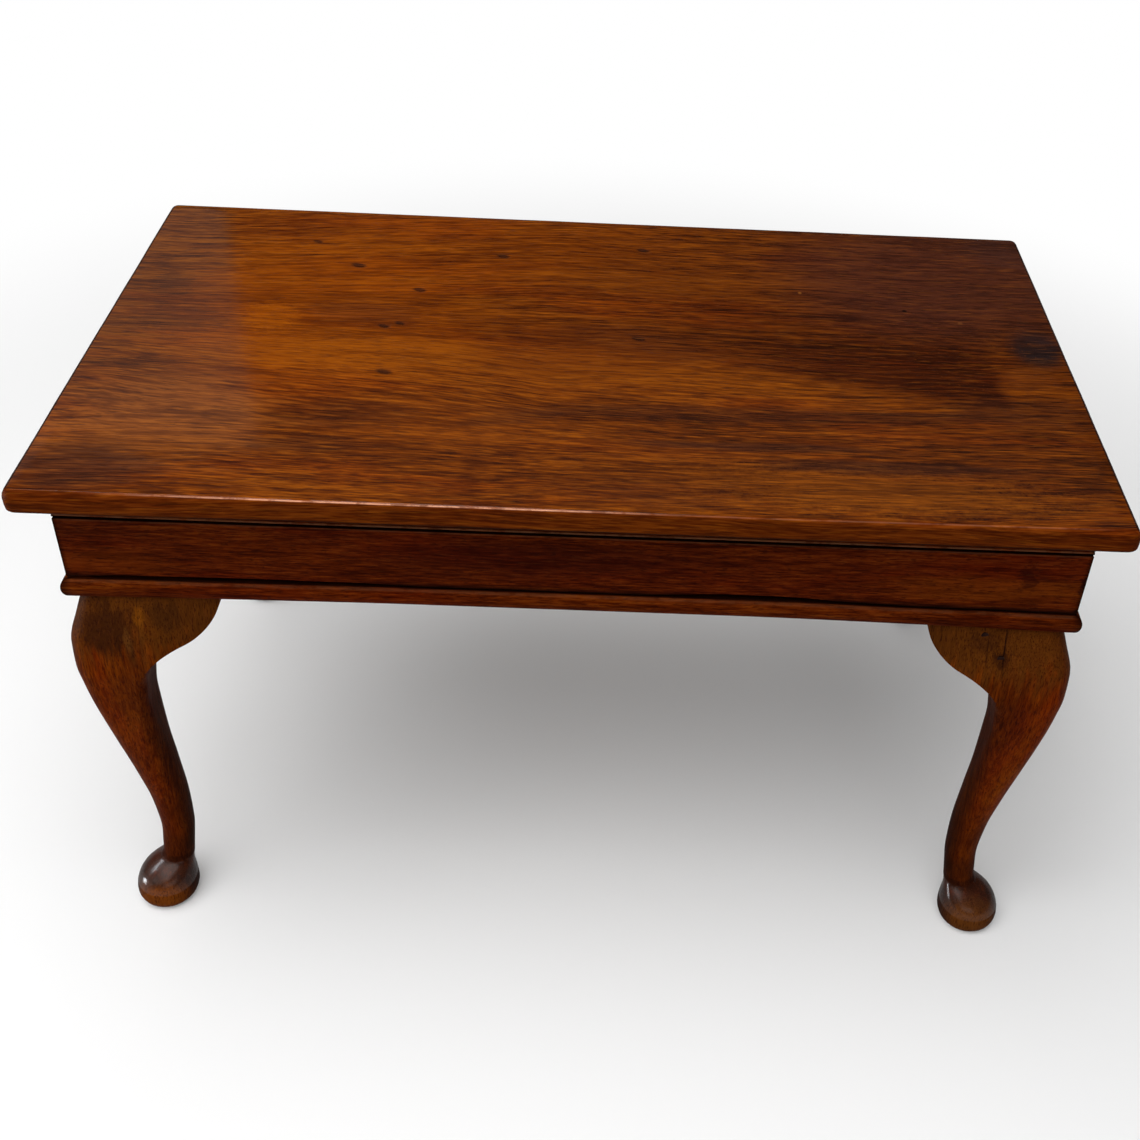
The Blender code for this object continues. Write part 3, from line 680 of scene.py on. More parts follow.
def metal(name, stain, bright, roughSteps):
    made, tree, shader = newFinish(name)
    place = addNode(tree, "TexCoord", output=3)
    stains = stretchedNoise(tree, place, metalLook["stainScale"], 5, 0.6)
    colour = ramp(tree, stains, list(zip(metalLook["stainAt"], (stain, bright))))
    plug(tree, shader.inputs["Base Color"], colour)
    roughness = spread(tree, stains, *metalLook["roughAt"], *roughSteps, "LINEAR")
    plug(tree, shader.inputs["Roughness"], roughness)
    brushed = stretchedNoise(tree, place, metalLook["brushScale"], 2)
    relief(tree, shader.inputs["Normal"], metalLook["brushed"], metalLook["brushHeight"], brushed)
    shader.inputs["Metallic"].default_value = 1
    return made


metalKinds = {  # stained and bright colour, roughness of both
    "hinge_brass": (paint(120, 88, 42), paint(190, 150, 84), (0.48, 0.3)),
    "screw_steel": (paint(84, 78, 72), paint(150, 148, 144), (0.55, 0.36)),
    "nail_iron": (paint(26, 14, 12), paint(44, 26, 20), (0.7, 0.55)),
}
brassFinish, steelFinish, ironFinish = [metal(name, *kind) for name, kind in metalKinds.items()]
print("finishes made")


def makeLidBoard():
    low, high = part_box("lid_board")
    obj = addCube("lid_board_polished", low, high)
    startEdit(obj)
    pick(obj, "EDGE", lambda edge: abs(edge.verts[0].co.z - edge.verts[1].co.z) > lidBoard["corner"])
    bpy.ops.mesh.bevel(offset=lidBoard["corner"], segments=lidBoard["cornerSteps"], affect="EDGES")
    for level, size in ((high.z, lidBoard["topRound"]), (low.z, lidBoard["lowRound"])):
        pick(obj, "EDGE", lambda edge: all(abs(vert.co.z - level) < tiny for vert in edge.verts))
        bpy.ops.mesh.bevel(offset=size, segments=lidBoard["roundSteps"], affect="EDGES")
    for axis in (0, 1):
        cuts = round((high[axis] - low[axis]) / lidBoard["grid"])
        way = [float(i == axis) for i in range(3)]
        for number in range(1, cuts):
            spot = [0, 0, 0]
            spot[axis] = low[axis] + (high[axis] - low[axis]) * number / cuts
            cutThrough(spot, way)
    for height in lidBoard["rows"]:
        cutThrough((0, 0, low.z + height), (0, 0, 1))
    for x, y, width, _ in lidBoard["dents"]:
        for reach, parts in lidBoard["dentGrid"]:
            def near(face):
                middle = face.calc_center_median()
                away = Vector((middle.x - x, middle.y - y)).length
                return middle.z > high.z - tiny and away < reach * width
            pick(obj, "FACE", near)
            bpy.ops.mesh.subdivide(number_cuts=parts)
    closeUp(obj, lidBoard["smooth"])

    def wornBack(x):
        # the arris at the right is worn back
        return lidBoard["wornBack"] * ease(*lidBoard["wornSpan"], x)

    def wornPlace(co):
        shift = Vector((0, 0, 0))
        for x, y, width, depth in lidBoard["dents"]:
            away = Vector(((co.x - x), (co.y - y) * lidBoard["dentSquash"])).length / width
            if away < 1 and co.z > high.z - tiny:
                shift.z -= depth * (1 - away * away) ** 2
        edge = min(high.x - abs(co.x), co.y - low.y, high.y - co.y)
        if edge < lidBoard["edgeBand"]:
            inward = Vector((-math.copysign(1, co.x), 0, 0))
            if min(co.y - low.y, high.y - co.y) < lidBoard["edgeBand"]:
                inward = Vector((0, -math.copysign(1, co.y), 0))
            spot = [value * scale for value, scale in zip(co, lidBoard["waveScale"])]
            shift += inward * lidBoard["wave"] * (1 + noise.noise(spot))
        # the ends are fuller below the arris, and so is the front at its left
        band = lidBoard["faceBand"]
        full = ease(0, lidBoard["bulgeDepth"], high.z - co.z)
        full *= 1 - lidBoard["bulgeFoot"] * ease(band, 0, co.z - low.z)
        atEnd = ease(band, 0, high.x - abs(co.x))
        atFront = ease(band, 0, co.y - low.y)
        shift.x += math.copysign(lidBoard["bulge"], co.x) * atEnd * full
        shift.y -= lidBoard["bulge"] * atFront * full * ease(*lidBoard["bulgeFront"], co.x)
        shift.y += wornBack(co.x) * atFront * ease(lidBoard["wornDepth"], 0, high.z - co.z)
        return shift

    nudge(obj, wornPlace)

    def paleArrisWearAndHighlight(co):
        # the front arris is worn pale and carries a painted highlight, most of all left of the middle
        lineTop, lineFoot = lidArrisWearAndLight["paleLine"]
        if not lineTop < high.z - co.z < lineFoot or co.y >= low.y + lidArrisWearAndLight["paleBand"]:
            return 0
        worn = lidArrisWearAndLight["paleRight"] + (1 - lidArrisWearAndLight["paleRight"]) * ease(*lidArrisWearAndLight["paleMiddle"], co.x)
        return worn * ease(*lidArrisWearAndLight["paleStart"], co.x) * ease(*lidArrisWearAndLight["paleEnd"], co.x)

    def shadedArrises(co):
        # painted shade darkens the side and back arrises, and the front's lower one
        if co.y < low.y + lidArrisWearAndLight["darkBand"]:
            return lidArrisWearAndLight["darkFootDepth"] * ease(*lidArrisWearAndLight["darkFoot"], co.z - low.z)
        away = min(high.x - abs(co.x), high.y - co.y)
        return ease(*lidArrisWearAndLight["darkSides"], away) * (co.z < high.z - tiny / 2)

    def onEdge(face):
        spot = face.center
        away = min(high.x - abs(spot.x), spot.y - low.y - wornBack(spot.x), high.y - spot.y)
        return away < lidBoard["coatEdge"] or spot.z < high.z - lidBoard["coatDepth"]

    markPoints(obj, "wear_and_highlight", paleArrisWearAndHighlight)
    markPoints(obj, "dirt_and_shade", shadedArrises)
    fit(obj, "lid", "top_mahogany", lidFinish, "lid_board")
    secondFinish(obj, lidEdgeFinish, onEdge)


makeLidBoard()
print("lid board made")


# mitred rails: rim under the lid, sides of the box, moulded base frame
def arcPoints(centre, radii, start, end, steps):
    angles = [math.radians(start + (end - start) * i / steps) for i in range(steps + 1)]
    return [(centre[0] + radii[0] * math.cos(a), centre[1] + radii[1] * math.sin(a)) for a in angles]


railSides = {  # middle of the outer face, turn, half length
    "front": (0, boxFront, 0, boxHalf),
    "right": (boxHalf, boxMiddle, 90, boxMiddle - boxFront),
    "back": (0, boxBack, 180, boxHalf),
    "left": (-boxHalf, boxMiddle, 270, boxMiddle - boxFront),
}
railCuts = {"pitch": 0.02, "spare": 0.02, "last": 0.0035, "smooth": 32}


def makeRail(name, profile, side):
    # the profile is (distance out of the box's face, height)
    x, y, turn, half = railSides[side]
    half -= glueLine / math.sqrt(2)
    reach = half + railCuts["spare"]
    obj = startCircle(name, len(profile))
    mesh = startEdit(obj)
    for vert, (out, z) in zip(mesh.verts, profile):
        vert.co = (-reach, -out, z)
    bmesh.update_edit_mesh(obj.data)
    selectAll()
    pullOut((2 * reach, 0, 0))
    for end in (-1, 1):
        cutThrough((end * half, 0, 0), (end, 1, 0), use_fill=True, clear_outer=True)
    cuts = round(2 * half / railCuts["pitch"])
    places = [-half + 2 * half * number / cuts for number in range(1, cuts)]
    places += [end * (half - railCuts["last"]) for end in (-1, 1)]
    for place in places:
        cutThrough((place, 0, 0), (1, 0, 0))
    closeUp(obj, railCuts["smooth"])
    obj.location = (x, y, 0)
    obj.rotation_euler = (0, 0, math.radians(turn))
    bpy.ops.object.transform_apply(location=True, rotation=True, scale=True)
    return obj


rimSizes = {
    "board": 0.016,
    "bead": 0.0012, "beadTall": 2.05, "beadEnd": 415,
    "groove": 0.001,
    "lip": 0.0002,
    "closer": 0.0011,
}
apronSizes = {
    "board": 0.016,
    "topRound": 0.001,
    "lowRound": 0.0006,
    "slot": 0.0013, "slotDepth": 0.005, "slotLean": 0.0005,
    "firstRow": 0.0064,
}
mouldingSizes = {
    "width": 0.062,
    "nose": 0.0045,
    "quirk": 0.0008,
    "lap": 0.0006,
    "lowRound": 0.006, "lowTall": 0.0085,
}


def rimProfile(side):
    # the rims at the sides come closer to the box
    low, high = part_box("lid_rim_front")
    foot = low.z - (0 if side == "front" else rimSizes["closer"])
    inner = -rimSizes["board"]
    bead, groove = rimSizes["bead"], rimSizes["groove"]
    points = [(0, high.z), (inner, high.z), (inner, foot)]
    points += arcPoints((-bead, foot + bead), (bead, bead), 270, rimSizes["beadEnd"], 10)
    top = foot + rimSizes["beadTall"] * bead
    return points + [(-groove, top), (-rimSizes["lip"], top + groove), (0, top + 2 * groove)]


def apronProfile():
    low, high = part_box("apron_front")
    inner, slot = -apronSizes["board"], -apronSizes["slotDepth"]
    upper, lower = apronSizes["topRound"], apronSizes["lowRound"]
    lifted = low.z + apronSizes["slot"]
    points = [(inner, high.z), (inner, low.z)]
    points += [(slot - apronSizes["slotLean"], low.z), (slot, lifted)]
    points += arcPoints((-lower, lifted + lower), (lower, lower), 270, 360, 3)
    points += [(0, low.z + apronSizes["firstRow"]), (0, high.z - 2 * upper)]
    return points + arcPoints((-upper, high.z - upper), (upper, upper), 0, 90, 4)


def mouldingProfile():
    low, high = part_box("base_frame_front")
    nose, quirk = mouldingSizes["nose"], mouldingSizes["quirk"]
    rounding, tall = mouldingSizes["lowRound"], mouldingSizes["lowTall"]
    inner = quirk - mouldingSizes["width"]
    points = [(-mouldingSizes["lap"], high.z), (inner, high.z), (inner, low.z)]
    points += arcPoints((nose - rounding, low.z + tall), (rounding, tall), 270, 360, 8)
    upper = arcPoints((quirk, low.z + tall), (nose - quirk, high.z - low.z - tall), 0, 90, 12)
    return points + upper[1:]


# the old front has moved a little: its top line rises in the middle, its foot hangs at both ends
frontBow = {
    "rise": 0.0002, "riseFrom": (-0.36, -0.1), "riseLess": (0.15, 0.34),
    "rimBand": (0.01, 0.004),
    "apronBand": (0.8, 0.98),
    "drops": [(0.0015, -0.12, -0.28), (0.0006, -0.3, -0.37), (0.0021, 0.12, 0.29), (0.0012, 0.29, 0.37)],
    "thicker": 0.0014, "thickerFrom": (0.24, 0.37), "thickerBand": 0.004,
    "sides": (0.16, 0.02),
}


def topRise(x):
    return frontBow["rise"] * ease(*frontBow["riseFrom"], x) * (1 - 0.5 * ease(*frontBow["riseLess"], x))


def footDrop(x):
    return sum(drop * ease(begin, end, x) for drop, begin, end in frontBow["drops"])


def bowRail(obj, kind):
    # pieces at the front and the front ends of the side pieces follow the bow
    low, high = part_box("apron_front")
    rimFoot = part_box("lid_rim_front")[0].z
    frameLow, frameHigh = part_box("base_frame_front")
    away, near = [boxFront + reach for reach in frontBow["sides"]]
    rimTop, rimLow = [rimFoot + rise for rise in frontBow["rimBand"]]

    def follow(co):
        if kind == "rim":
            rise = topRise(co.x) * ease(rimTop, rimLow, co.z)
        elif kind == "moulding":
            lower = ease(frameHigh.z - frontBow["thickerBand"], frameLow.z, co.z)
            fuller = frontBow["thicker"] * ease(*frontBow["thickerFrom"], abs(co.x)) * lower
            rise = -(footDrop(co.x) + fuller)
        else:
            share = min(max((co.z - low.z) / (high.z - low.z), 0), 1)
            rise = topRise(co.x) * ease(*frontBow["apronBand"], share) - footDrop(co.x) * (1 - share)
        return (0, 0, rise * ease(away, near, co.y))

    nudge(obj, follow)


# the open joint over the moulding
jointGape = {
    "most": 0.0034,
    "rows": (0.0005, 0.003),
    "spare": 0.0002,
    "places": [(-0.36, -0.34, -0.12, -0.18), (0.05, 0.08, 0.2, 0.16)],  # where it opens and closes again
    "share": 0.7,
    "uneven": 0.5, "unevenScale": 19, "unevenShift": 3.1, "unevenRow": 0.4,
}


def openTheJoint(obj):
    # the box's lower front edge has shrunk away from the moulding, more in some places
    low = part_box("apron_front")[0]
    first, last = [low.z + row for row in jointGape["rows"]]
    deepest = low.y + apronSizes["slotDepth"] + jointGape["spare"]

    def lift(co):
        if co.z > last or co.z < first or co.y > deepest:
            return (0, 0, 0)
        wide = sum(ease(a, b, co.x) * ease(c, d, co.x) for a, b, c, d in jointGape["places"])
        spot = (co.x * jointGape["unevenScale"] + jointGape["unevenShift"], jointGape["unevenRow"], 0)
        wide = wide * jointGape["share"] + jointGape["uneven"] * noise.noise(spot)
        return (0, 0, jointGape["most"] * min(max(wide, 0), 1))

    nudge(obj, lift)


def railPlace(side):
    # how far a point is out of the box's face, and how far it is from the mitre
    x, y, turn, half = railSides[side]
    turn = math.radians(turn)

    def measure(co):
        out = (co.x - x) * math.sin(turn) - (co.y - y) * math.cos(turn)
        along = (co.x - x) * math.cos(turn) + (co.y - y) * math.sin(turn)
        return out, half + out - abs(along)

    return measure


# dirt in the joints and mitres, painted shade on the rim under the lid's edge, and painted highlights along
# the edges
railDirtWearAndLight = {
    "mitre": (0.003, 0.0006), "mitreDepth": 0.95,
    "line": 0.0008,
    "rimFace": -0.004, "rimInside": 0.1, "rimBeadHighlight": 0.9,
    "apronFace": 0.001, "apronFoot": (0.0042, 0.0028), "apronTop": 0.0004,
    "apronHighlightBand": (0.0013, 0.0005), "apronHighlight": 0.4,
    "mouldingFace": -0.002, "mouldingQuirk": 0.0007, "mouldingMitre": 0.8,
    "mouldingHighlightBand": (0.0016, 0.0006), "mouldingHighlight": 0.28, "mouldingEnd": 0.001,
}


def atMitre(fromEnd):
    return ease(*railDirtWearAndLight["mitre"], fromEnd)


def rimMarks(measure):
    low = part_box("lid_rim_front")[0].z
    middle = low + rimSizes["bead"]
    top = low + 2 * rimSizes["bead"]
    line = railDirtWearAndLight["line"]

    def dirt_and_shade(co):
        out, fromEnd = measure(co)
        if out < railDirtWearAndLight["rimFace"]:
            return railDirtWearAndLight["rimInside"]
        # painted shade on all the rim above the bead, where the lid's edge shades it, and a dark joint at its
        # foot
        joint = max(ease(top, top + line, co.z), ease(low + line, low, co.z))
        return max(joint, railDirtWearAndLight["mitreDepth"] * atMitre(fromEnd))

    # a painted highlight along the middle of the bead, which lies in the lid's shade
    def wear_and_highlight(co):
        return railDirtWearAndLight["rimBeadHighlight"] * (abs(co.z - middle) < line) * (measure(co)[0] > railDirtWearAndLight["rimFace"])

    return dirt_and_shade, wear_and_highlight


def apronMarks(measure):
    low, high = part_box("apron_front")
    jointTop, jointFoot = [low.z + rise for rise in railDirtWearAndLight["apronFoot"]]
    highlightFoot, highlightTop = [high.z - drop for drop in railDirtWearAndLight["apronHighlightBand"]]

    def dirt_and_shade(co):
        out, fromEnd = measure(co)
        if out < -apronSizes["slotDepth"] - railDirtWearAndLight["apronFace"]:
            return 0
        joint = max(ease(jointTop, jointFoot, co.z), float(co.z > high.z - railDirtWearAndLight["apronTop"]))
        return max(joint, railDirtWearAndLight["mitreDepth"] * atMitre(fromEnd))

    # a painted highlight along the apron's top arris
    return dirt_and_shade, lambda co: railDirtWearAndLight["apronHighlight"] * (highlightFoot < co.z < highlightTop)


def mouldingMarks(measure):
    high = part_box("base_frame_front")[1]
    highlightFoot, highlightTop = [high.z - drop for drop in railDirtWearAndLight["mouldingHighlightBand"]]
    face, quirk = railDirtWearAndLight["mouldingFace"], railDirtWearAndLight["mouldingQuirk"]

    def dirt_and_shade(co):
        out, fromEnd = measure(co)
        joint = float(co.z > high.z - tiny and face < out < quirk)
        return max(joint, railDirtWearAndLight["mouldingMitre"] * atMitre(fromEnd) * (out > face))

    # a painted highlight along the top edge of the moulding, clear of the mitres
    def wear_and_highlight(co):
        out, fromEnd = measure(co)
        shown = out > quirk and fromEnd > railDirtWearAndLight["mouldingEnd"]
        return railDirtWearAndLight["mouldingHighlight"] * ease(highlightFoot, highlightTop, co.z) * shown

    return dirt_and_shade, wear_and_highlight


hingeSeat = {"thick": 0.0023, "over": 0.004, "reach": 0.05}


def cutSeats(rim, apron):
    # room for the hinge leaves
    for half, hand in (("box", "left"), ("box", "right"), ("lid", "left"), ("lid", "right")):
        low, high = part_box(f"hinge_{hand}_{half}_leaf")
        inside = low.y - glueLine
        if half == "lid":
            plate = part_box("lid_rim_back")[0].z
            board, bottom, top = rim, plate - hingeSeat["over"], plate + hingeSeat["thick"]
        else:
            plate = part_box("apron_back")[1].z
            board, bottom, top = apron, plate - hingeSeat["thick"], plate + hingeSeat["over"]
        near = (low.x - glueLine, inside, bottom)
        far = (high.x + glueLine, inside + hingeSeat["reach"], top)
        cutAway(board, addCube("seat", near, far))


for side in railSides:
    long = side in ("front", "back")
    rim = makeRail(f"lid_rim_{side}_beaded", rimProfile(side), side)
    apron = makeRail(f"apron_{side}_board", apronProfile(), side)
    rail = makeRail(f"base_frame_{side}_moulded", mouldingProfile(), side)
    if side == "front":
        openTheJoint(apron)
    kinds = ((rim, "rim", rimMarks), (apron, "apron", apronMarks), (rail, "moulding", mouldingMarks))
    for piece, kind, marks in kinds:
        dirt_and_shade, wear_and_highlight = marks(railPlace(side))
        markPoints(piece, "dirt_and_shade", dirt_and_shade)
        markPoints(piece, "wear_and_highlight", wear_and_highlight)
        bowRail(piece, kind)
    if side == "back":
        cutSeats(rim, apron)
    fit(rim, "lid", "box_mahogany", boxFinish if long else boxEndFinish, f"lid_rim_{side}")
    fit(apron, "box", "box_mahogany", boxFinish if long else boxEndFinish, f"apron_{side}")
    fit(rail, "box", "leg_mahogany", frameFinish if long else frameEndFinish, f"base_frame_{side}")
print("rails made")


# cabriole leg, drawn as insets from the box's end face
legLine = {
    "height": 0.3547,
    "step": 0.005,
    "ankle": 0.04,
    "domeFrom": 0.019, "domeTo": 0.038,
    "footInset": 0.0162, "footRadius": 0.0258,
    "postInner": 0.047,
    "foot": [  # height, share of the radius, drift towards the ankle
        (0, 0.8, 0),
        (0.004, 0.94, 0),
        (0.01, 1, 0),
        (0.016, 0.99, 0.02),
        (0.022, 0.945, 0.08),
        (0.0275, 0.862, 0.195),
        (0.0325, 0.729, 0.457),
        (0.036, 0.612, 0.724),
        (0.038, 0.545, 0.905),
    ],
    "shaft": [  # share of the height above the ankle, outer and inner inset
        (0, 0.0135, 0.0399),
        (0.051, 0.0152, 0.0417),
        (0.108, 0.0164, 0.0435),
        (0.216, 0.0144, 0.0442),
        (0.35, 0.0087, 0.043),
        (0.493, 0.0023, 0.0413),
        (0.641, -0.0038, 0.041),
        (0.725, -0.0069, 0.0437),
        (0.784, -0.0087, 0.047),
        (0.858, -0.0079, 0.047),
        (0.937, -0.0008, 0.047),
        (1, 0.0058, 0.047),
    ],
    "footRings": 30,
    "shaftRings": 64,
    "cornerSteps": 9,
    "roundBelow": 0.3,
    "squareAbove": 0.72,
    "edgeFrom": 0.74, "edgeTo": 0.79,
    "shaftRound": 0.98,
    "kneeOuter": 0.55, "kneeSide": 0.28, "kneeBack": 0.92,
    "earEdge": 0.004,
    "smooth": 40,
}


def slopeAt(rows, i, column):
    # of the line in onLine, level where the rows turn back
    if i in (0, len(rows) - 1):
        i = min(max(i, 1), len(rows) - 1)
        return (rows[i][column] - rows[i - 1][column]) / (rows[i][0] - rows[i - 1][0])
    below = slopeAt(rows[i - 1:i + 1], 0, column)
    above = slopeAt(rows[i:i + 2], 0, column)
    return 0 if below * above <= 0 else 2 * below * above / (below + above)


def onLine(rows, where, column):
    # a smooth line through all the rows, with no swing past them
    i = 0
    while i < len(rows) - 2 and where > rows[i + 1][0]:
        i += 1
    low, high = rows[i], rows[i + 1]
    span = high[0] - low[0]
    t = (where - low[0]) / span
    value = low[column] * (1 + 2 * t) * (1 - t) ** 2 + high[column] * t * t * (3 - 2 * t)
    value += slopeAt(rows, i, column) * span * t * (1 - t) ** 2
    return value - slopeAt(rows, i + 1, column) * span * t * t * (1 - t)


def legRows():
    ankleMiddle = (legLine["shaft"][0][1] + legLine["shaft"][0][2]) / 2
    rows = []
    for height, share, drift in legLine["foot"]:
        middle = legLine["footInset"] + drift * (ankleMiddle - legLine["footInset"])
        reach = legLine["footRadius"] * share
        rows.append((height, middle - reach, middle + reach))
    for share, outer, inner in legLine["shaft"]:
        rows.append((legLine["ankle"] + share * (legLine["height"] - legLine["ankle"]), outer, inner))
    return rows


legStations = legRows()


def legOutline(height):
    outer = onLine(legStations, height, 1)
    inner = onLine(legStations, height, 2)
    half = (inner - outer) / 2
    share = (height - legLine["ankle"]) / (legLine["height"] - legLine["ankle"])
    square = ease(legLine["roundBelow"], legLine["squareAbove"], share)
    rounds = ("kneeOuter", "kneeSide", "kneeBack")
    front, side, back = [legLine["shaftRound"] * (1 - square) + legLine[k] * square for k in rounds]
    side += (legLine["earEdge"] - legLine["kneeSide"]) * ease(legLine["edgeFrom"], legLine["edgeTo"], share)
    middle = outer + half
    points = []
    for k, (su, sv, rounding) in enumerate(((1, 1, back), (-1, 1, side), (-1, -1, front), (1, -1, side))):
        radius = half * rounding
        centre = (middle + su * (half - radius), middle - legLine["step"] + sv * (half - radius))
        points += arcPoints(centre, (radius, radius), 90 * k, 90 * k + 90, legLine["cornerSteps"])
    return [(-boxHalf + u, boxFront + v, height) for u, v in points]


def makeLeg():
    # a circle pulled up from the floor, ring by ring
    ankle, rise = legLine["ankle"], legLine["height"] - legLine["ankle"]
    heights = [ankle * i / legLine["footRings"] for i in range(legLine["footRings"])]
    heights += [ankle + rise * i / legLine["shaftRings"] for i in range(legLine["shaftRings"] + 1)]
    ring = legOutline(0)
    obj = startCircle("leg_front_left_carved", len(ring))
    mesh = startEdit(obj)
    spot = mesh.verts.layers.int.new("spot")
    for number, vert in enumerate(mesh.verts):
        vert[spot] = number
        vert.co = ring[number]
    bmesh.update_edit_mesh(obj.data)
    selectAll()
    for low, high in zip(heights, heights[1:]):
        pullOut((0, 0, high - low))
        mesh = bmesh.from_edit_mesh(obj.data)
        spot = mesh.verts.layers.int["spot"]
        ring = legOutline(high)
        for vert in mesh.verts:
            if vert.select:
                vert.co = ring[vert[spot]]
        bmesh.update_edit_mesh(obj.data)
    return closeUp(obj, legLine["smooth"])


earLine = {
    "length": 0.061,
    "drop": 0.0681,
    "back": 0.021,
    "bulge": [(1, 0.022), (0.955, 0.26), (0.76, 0.55), (0.5, 0.645)],
    "hollow": [(0.5, 0.645), (0.3, 0.715), (0.11, 0.835), (0, 1)],
    "columns": 36,
    "rows": 16,
    "letIn": 0.999,
    "overlap": 0.0008,
    "smooth": 50,
}


def bezier(points, t):
    a, b, c, d = (Vector(point) for point in points)
    return a * (1 - t) ** 3 + b * 3 * t * (1 - t) ** 2 + c * 3 * t * t * (1 - t) + d * t ** 3


def earEdge(share):
    # lower edge from the tip, at 0, to the leg, at 1
    half = earLine["bulge"] if share < 0.5 else earLine["hollow"]
    found = bezier(half, share * 2 if share < 0.5 else share * 2 - 1)
    return found.x * earLine["length"], found.y * earLine["drop"]


def earPoint(face, along, height, inset):
    start = legLine["postInner"] - (legLine["step"] if face == "side" else 0)
    u, v = (inset, start + along) if face == "side" else (start + along, inset)
    return Vector((-boxHalf + u, boxFront + v, height))


def earInset(face, along, height):
    flat = ease(0, earLine["length"], along)
    knee = onLine(legStations, height, 1) * (1 - flat) + legStations[-1][1] * flat
    return knee - (0 if face == "side" else legLine["step"])


def makeEar(face):
    deselectAll()
    bpy.ops.mesh.primitive_grid_add(x_subdivisions=earLine["columns"], y_subdivisions=earLine["rows"], size=1)
    obj = newest(f"ear_front_left_{face}_shaped")
    mesh = startEdit(obj)
    for vert in mesh.verts:
        across, up = vert.co.x + 0.5, vert.co.y + 0.5
        along, drop = earEdge(across)
        height = legLine["height"] - drop * (1 - up)
        inset = earInset(face, along, height)
        if across > earLine["letIn"]:
            # the last column is let into the leg
            along, inset = -earLine["overlap"], inset + earLine["overlap"]
        vert.co = earPoint(face, along, height, inset)
    bmesh.update_edit_mesh(obj.data)
    selectAll()
    pullOut((0, 0, 0))
    axis = 0 if face == "side" else 1
    back = (-boxHalf, boxFront)[axis] + earLine["back"]
    mesh = bmesh.from_edit_mesh(obj.data)
    for vert in mesh.verts:
        if vert.select:
            vert.co[axis] = back
    bmesh.update_edit_mesh(obj.data)
    return closeUp(obj, earLine["smooth"])


backLegShift = 0.0035
corners = {  # mirrored in x and y
    "front_left": (1, 1),
    "front_right": (-1, 1),
    "back_left": (1, -1),
    "back_right": (-1, -1),
}
legShade = {"depth": 0.72, "turned": (0.26, 0.88), "foot": (0.035, 0.055), "knee": (0.325, 0.27)}


def shadedInnerSide(co):
    # painted shade on the side turned to the middle of the table, fading out at the foot and at the knee
    middle = 0.5 * (onLine(legStations, co.z, 1) + onLine(legStations, co.z, 2))
    u = co.x + boxHalf - middle
    v = co.y - boxFront + legLine["step"] - middle
    turned = ease(*legShade["turned"], u / max(math.hypot(u, v), 0.001))
    return legShade["depth"] * turned * ease(*legShade["foot"], co.z) * ease(*legShade["knee"], co.z)


legMaster = makeLeg()
markPoints(legMaster, "dirt_and_shade", shadedInnerSide)
earMasters = {"front": makeEar("front"), "side": makeEar("side")}
for corner, (flipX, flipY) in corners.items():
    shift = (0, 0 if flipY > 0 else 2 * boxMiddle + backLegShift, 0)
    first = corner == "front_left"
    leg = legMaster if first else copyPiece(legMaster, f"leg_{corner}_carved", shift, (flipX, flipY, 1))
    fit(leg, "box", "leg_mahogany", legFinish, f"leg_{corner}")
    secondFinish(leg, footFinish, lambda face: legLine["domeFrom"] < face.center.z < legLine["domeTo"])
    for face, master in earMasters.items():
        label = "side" if face == "side" else corner.split("_")[0]
        name = f"ear_{corner}_{label}_shaped"
        ear = master if first else copyPiece(master, name, shift, (flipX, flipY, 1))
        fit(ear, "box", "leg_mahogany", legFinish, f"ear_{corner}_{label}")
print("legs and ears made")


# screws with a slot across the head, modelled once for each size
screwKinds = {  # head height, shank share of the head's radius, head at the upper end, body, finish
    "hinge_box_screw": (0.0016, 0.5, True, "box", brassFinish),
    "hinge_lid_screw": (0.0016, 0.5, False, "lid", brassFinish),
    "rim_screw": (0.0025, 0.54, False, "lid", steelFinish),
    "leg_screw": (0.003, 0.52, True, "box", steelFinish),
}
screwShape = {
    "sides": 32,
    "slotWidth": 0.17, "slotDepth": 0.45, "slotReach": 1.2, "slotOver": 0.001,
    "smooth": 30,
    "turn": 0.7,
    "nextTurn": 1.9,
}


def makeScrew(headHeight, shankShare, size):
    radius, length = size.x / 2, size.z
    obj = startCircle("screw", screwShape["sides"], radius)
    startEdit(obj)
    selectAll()
    pullOut((0, 0, -headHeight))
    bpy.ops.transform.resize(value=(shankShare, shankShare, 1))
    pullOut((0, 0, headHeight - length))
    faceOut()
    half = screwShape["slotWidth"] * radius
    reach = screwShape["slotReach"] * radius
    floor = -screwShape["slotDepth"] * headHeight
    cutAway(obj, addCube("slot", (-reach, -half, floor), (reach, half, screwShape["slotOver"])))
    makeActive(obj)
    smooth(screwShape["smooth"])
    return obj


for kind, (headHeight, shankShare, headUp, body, finish) in screwKinds.items():
    names = sorted(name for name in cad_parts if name.startswith(kind))
    low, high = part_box(names[0])
    master = makeScrew(headHeight, shankShare, high - low)
    for number, name in enumerate(names):
        low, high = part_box(name)
        head = ((low.x + high.x) / 2, (low.y + high.y) / 2, high.z if headUp else low.z)
        flip = (1, 1, 1 if headUp else -1)
        turn = screwShape["turn"] + screwShape["nextTurn"] * number
        piece = copyPiece(master, f"{name}_slotted", head, flip, turn)
        fit(piece, body, "brass" if finish is brassFinish else "steel", finish, name)
    bpy.data.objects.remove(master)
print("screws made")


# hinges: the leaves and pins with their edges eased
hingeEdges = {"pin": 0.0002, "leaf": 0.00025, "flat": 1, "sharp": 40, "smooth": 35}


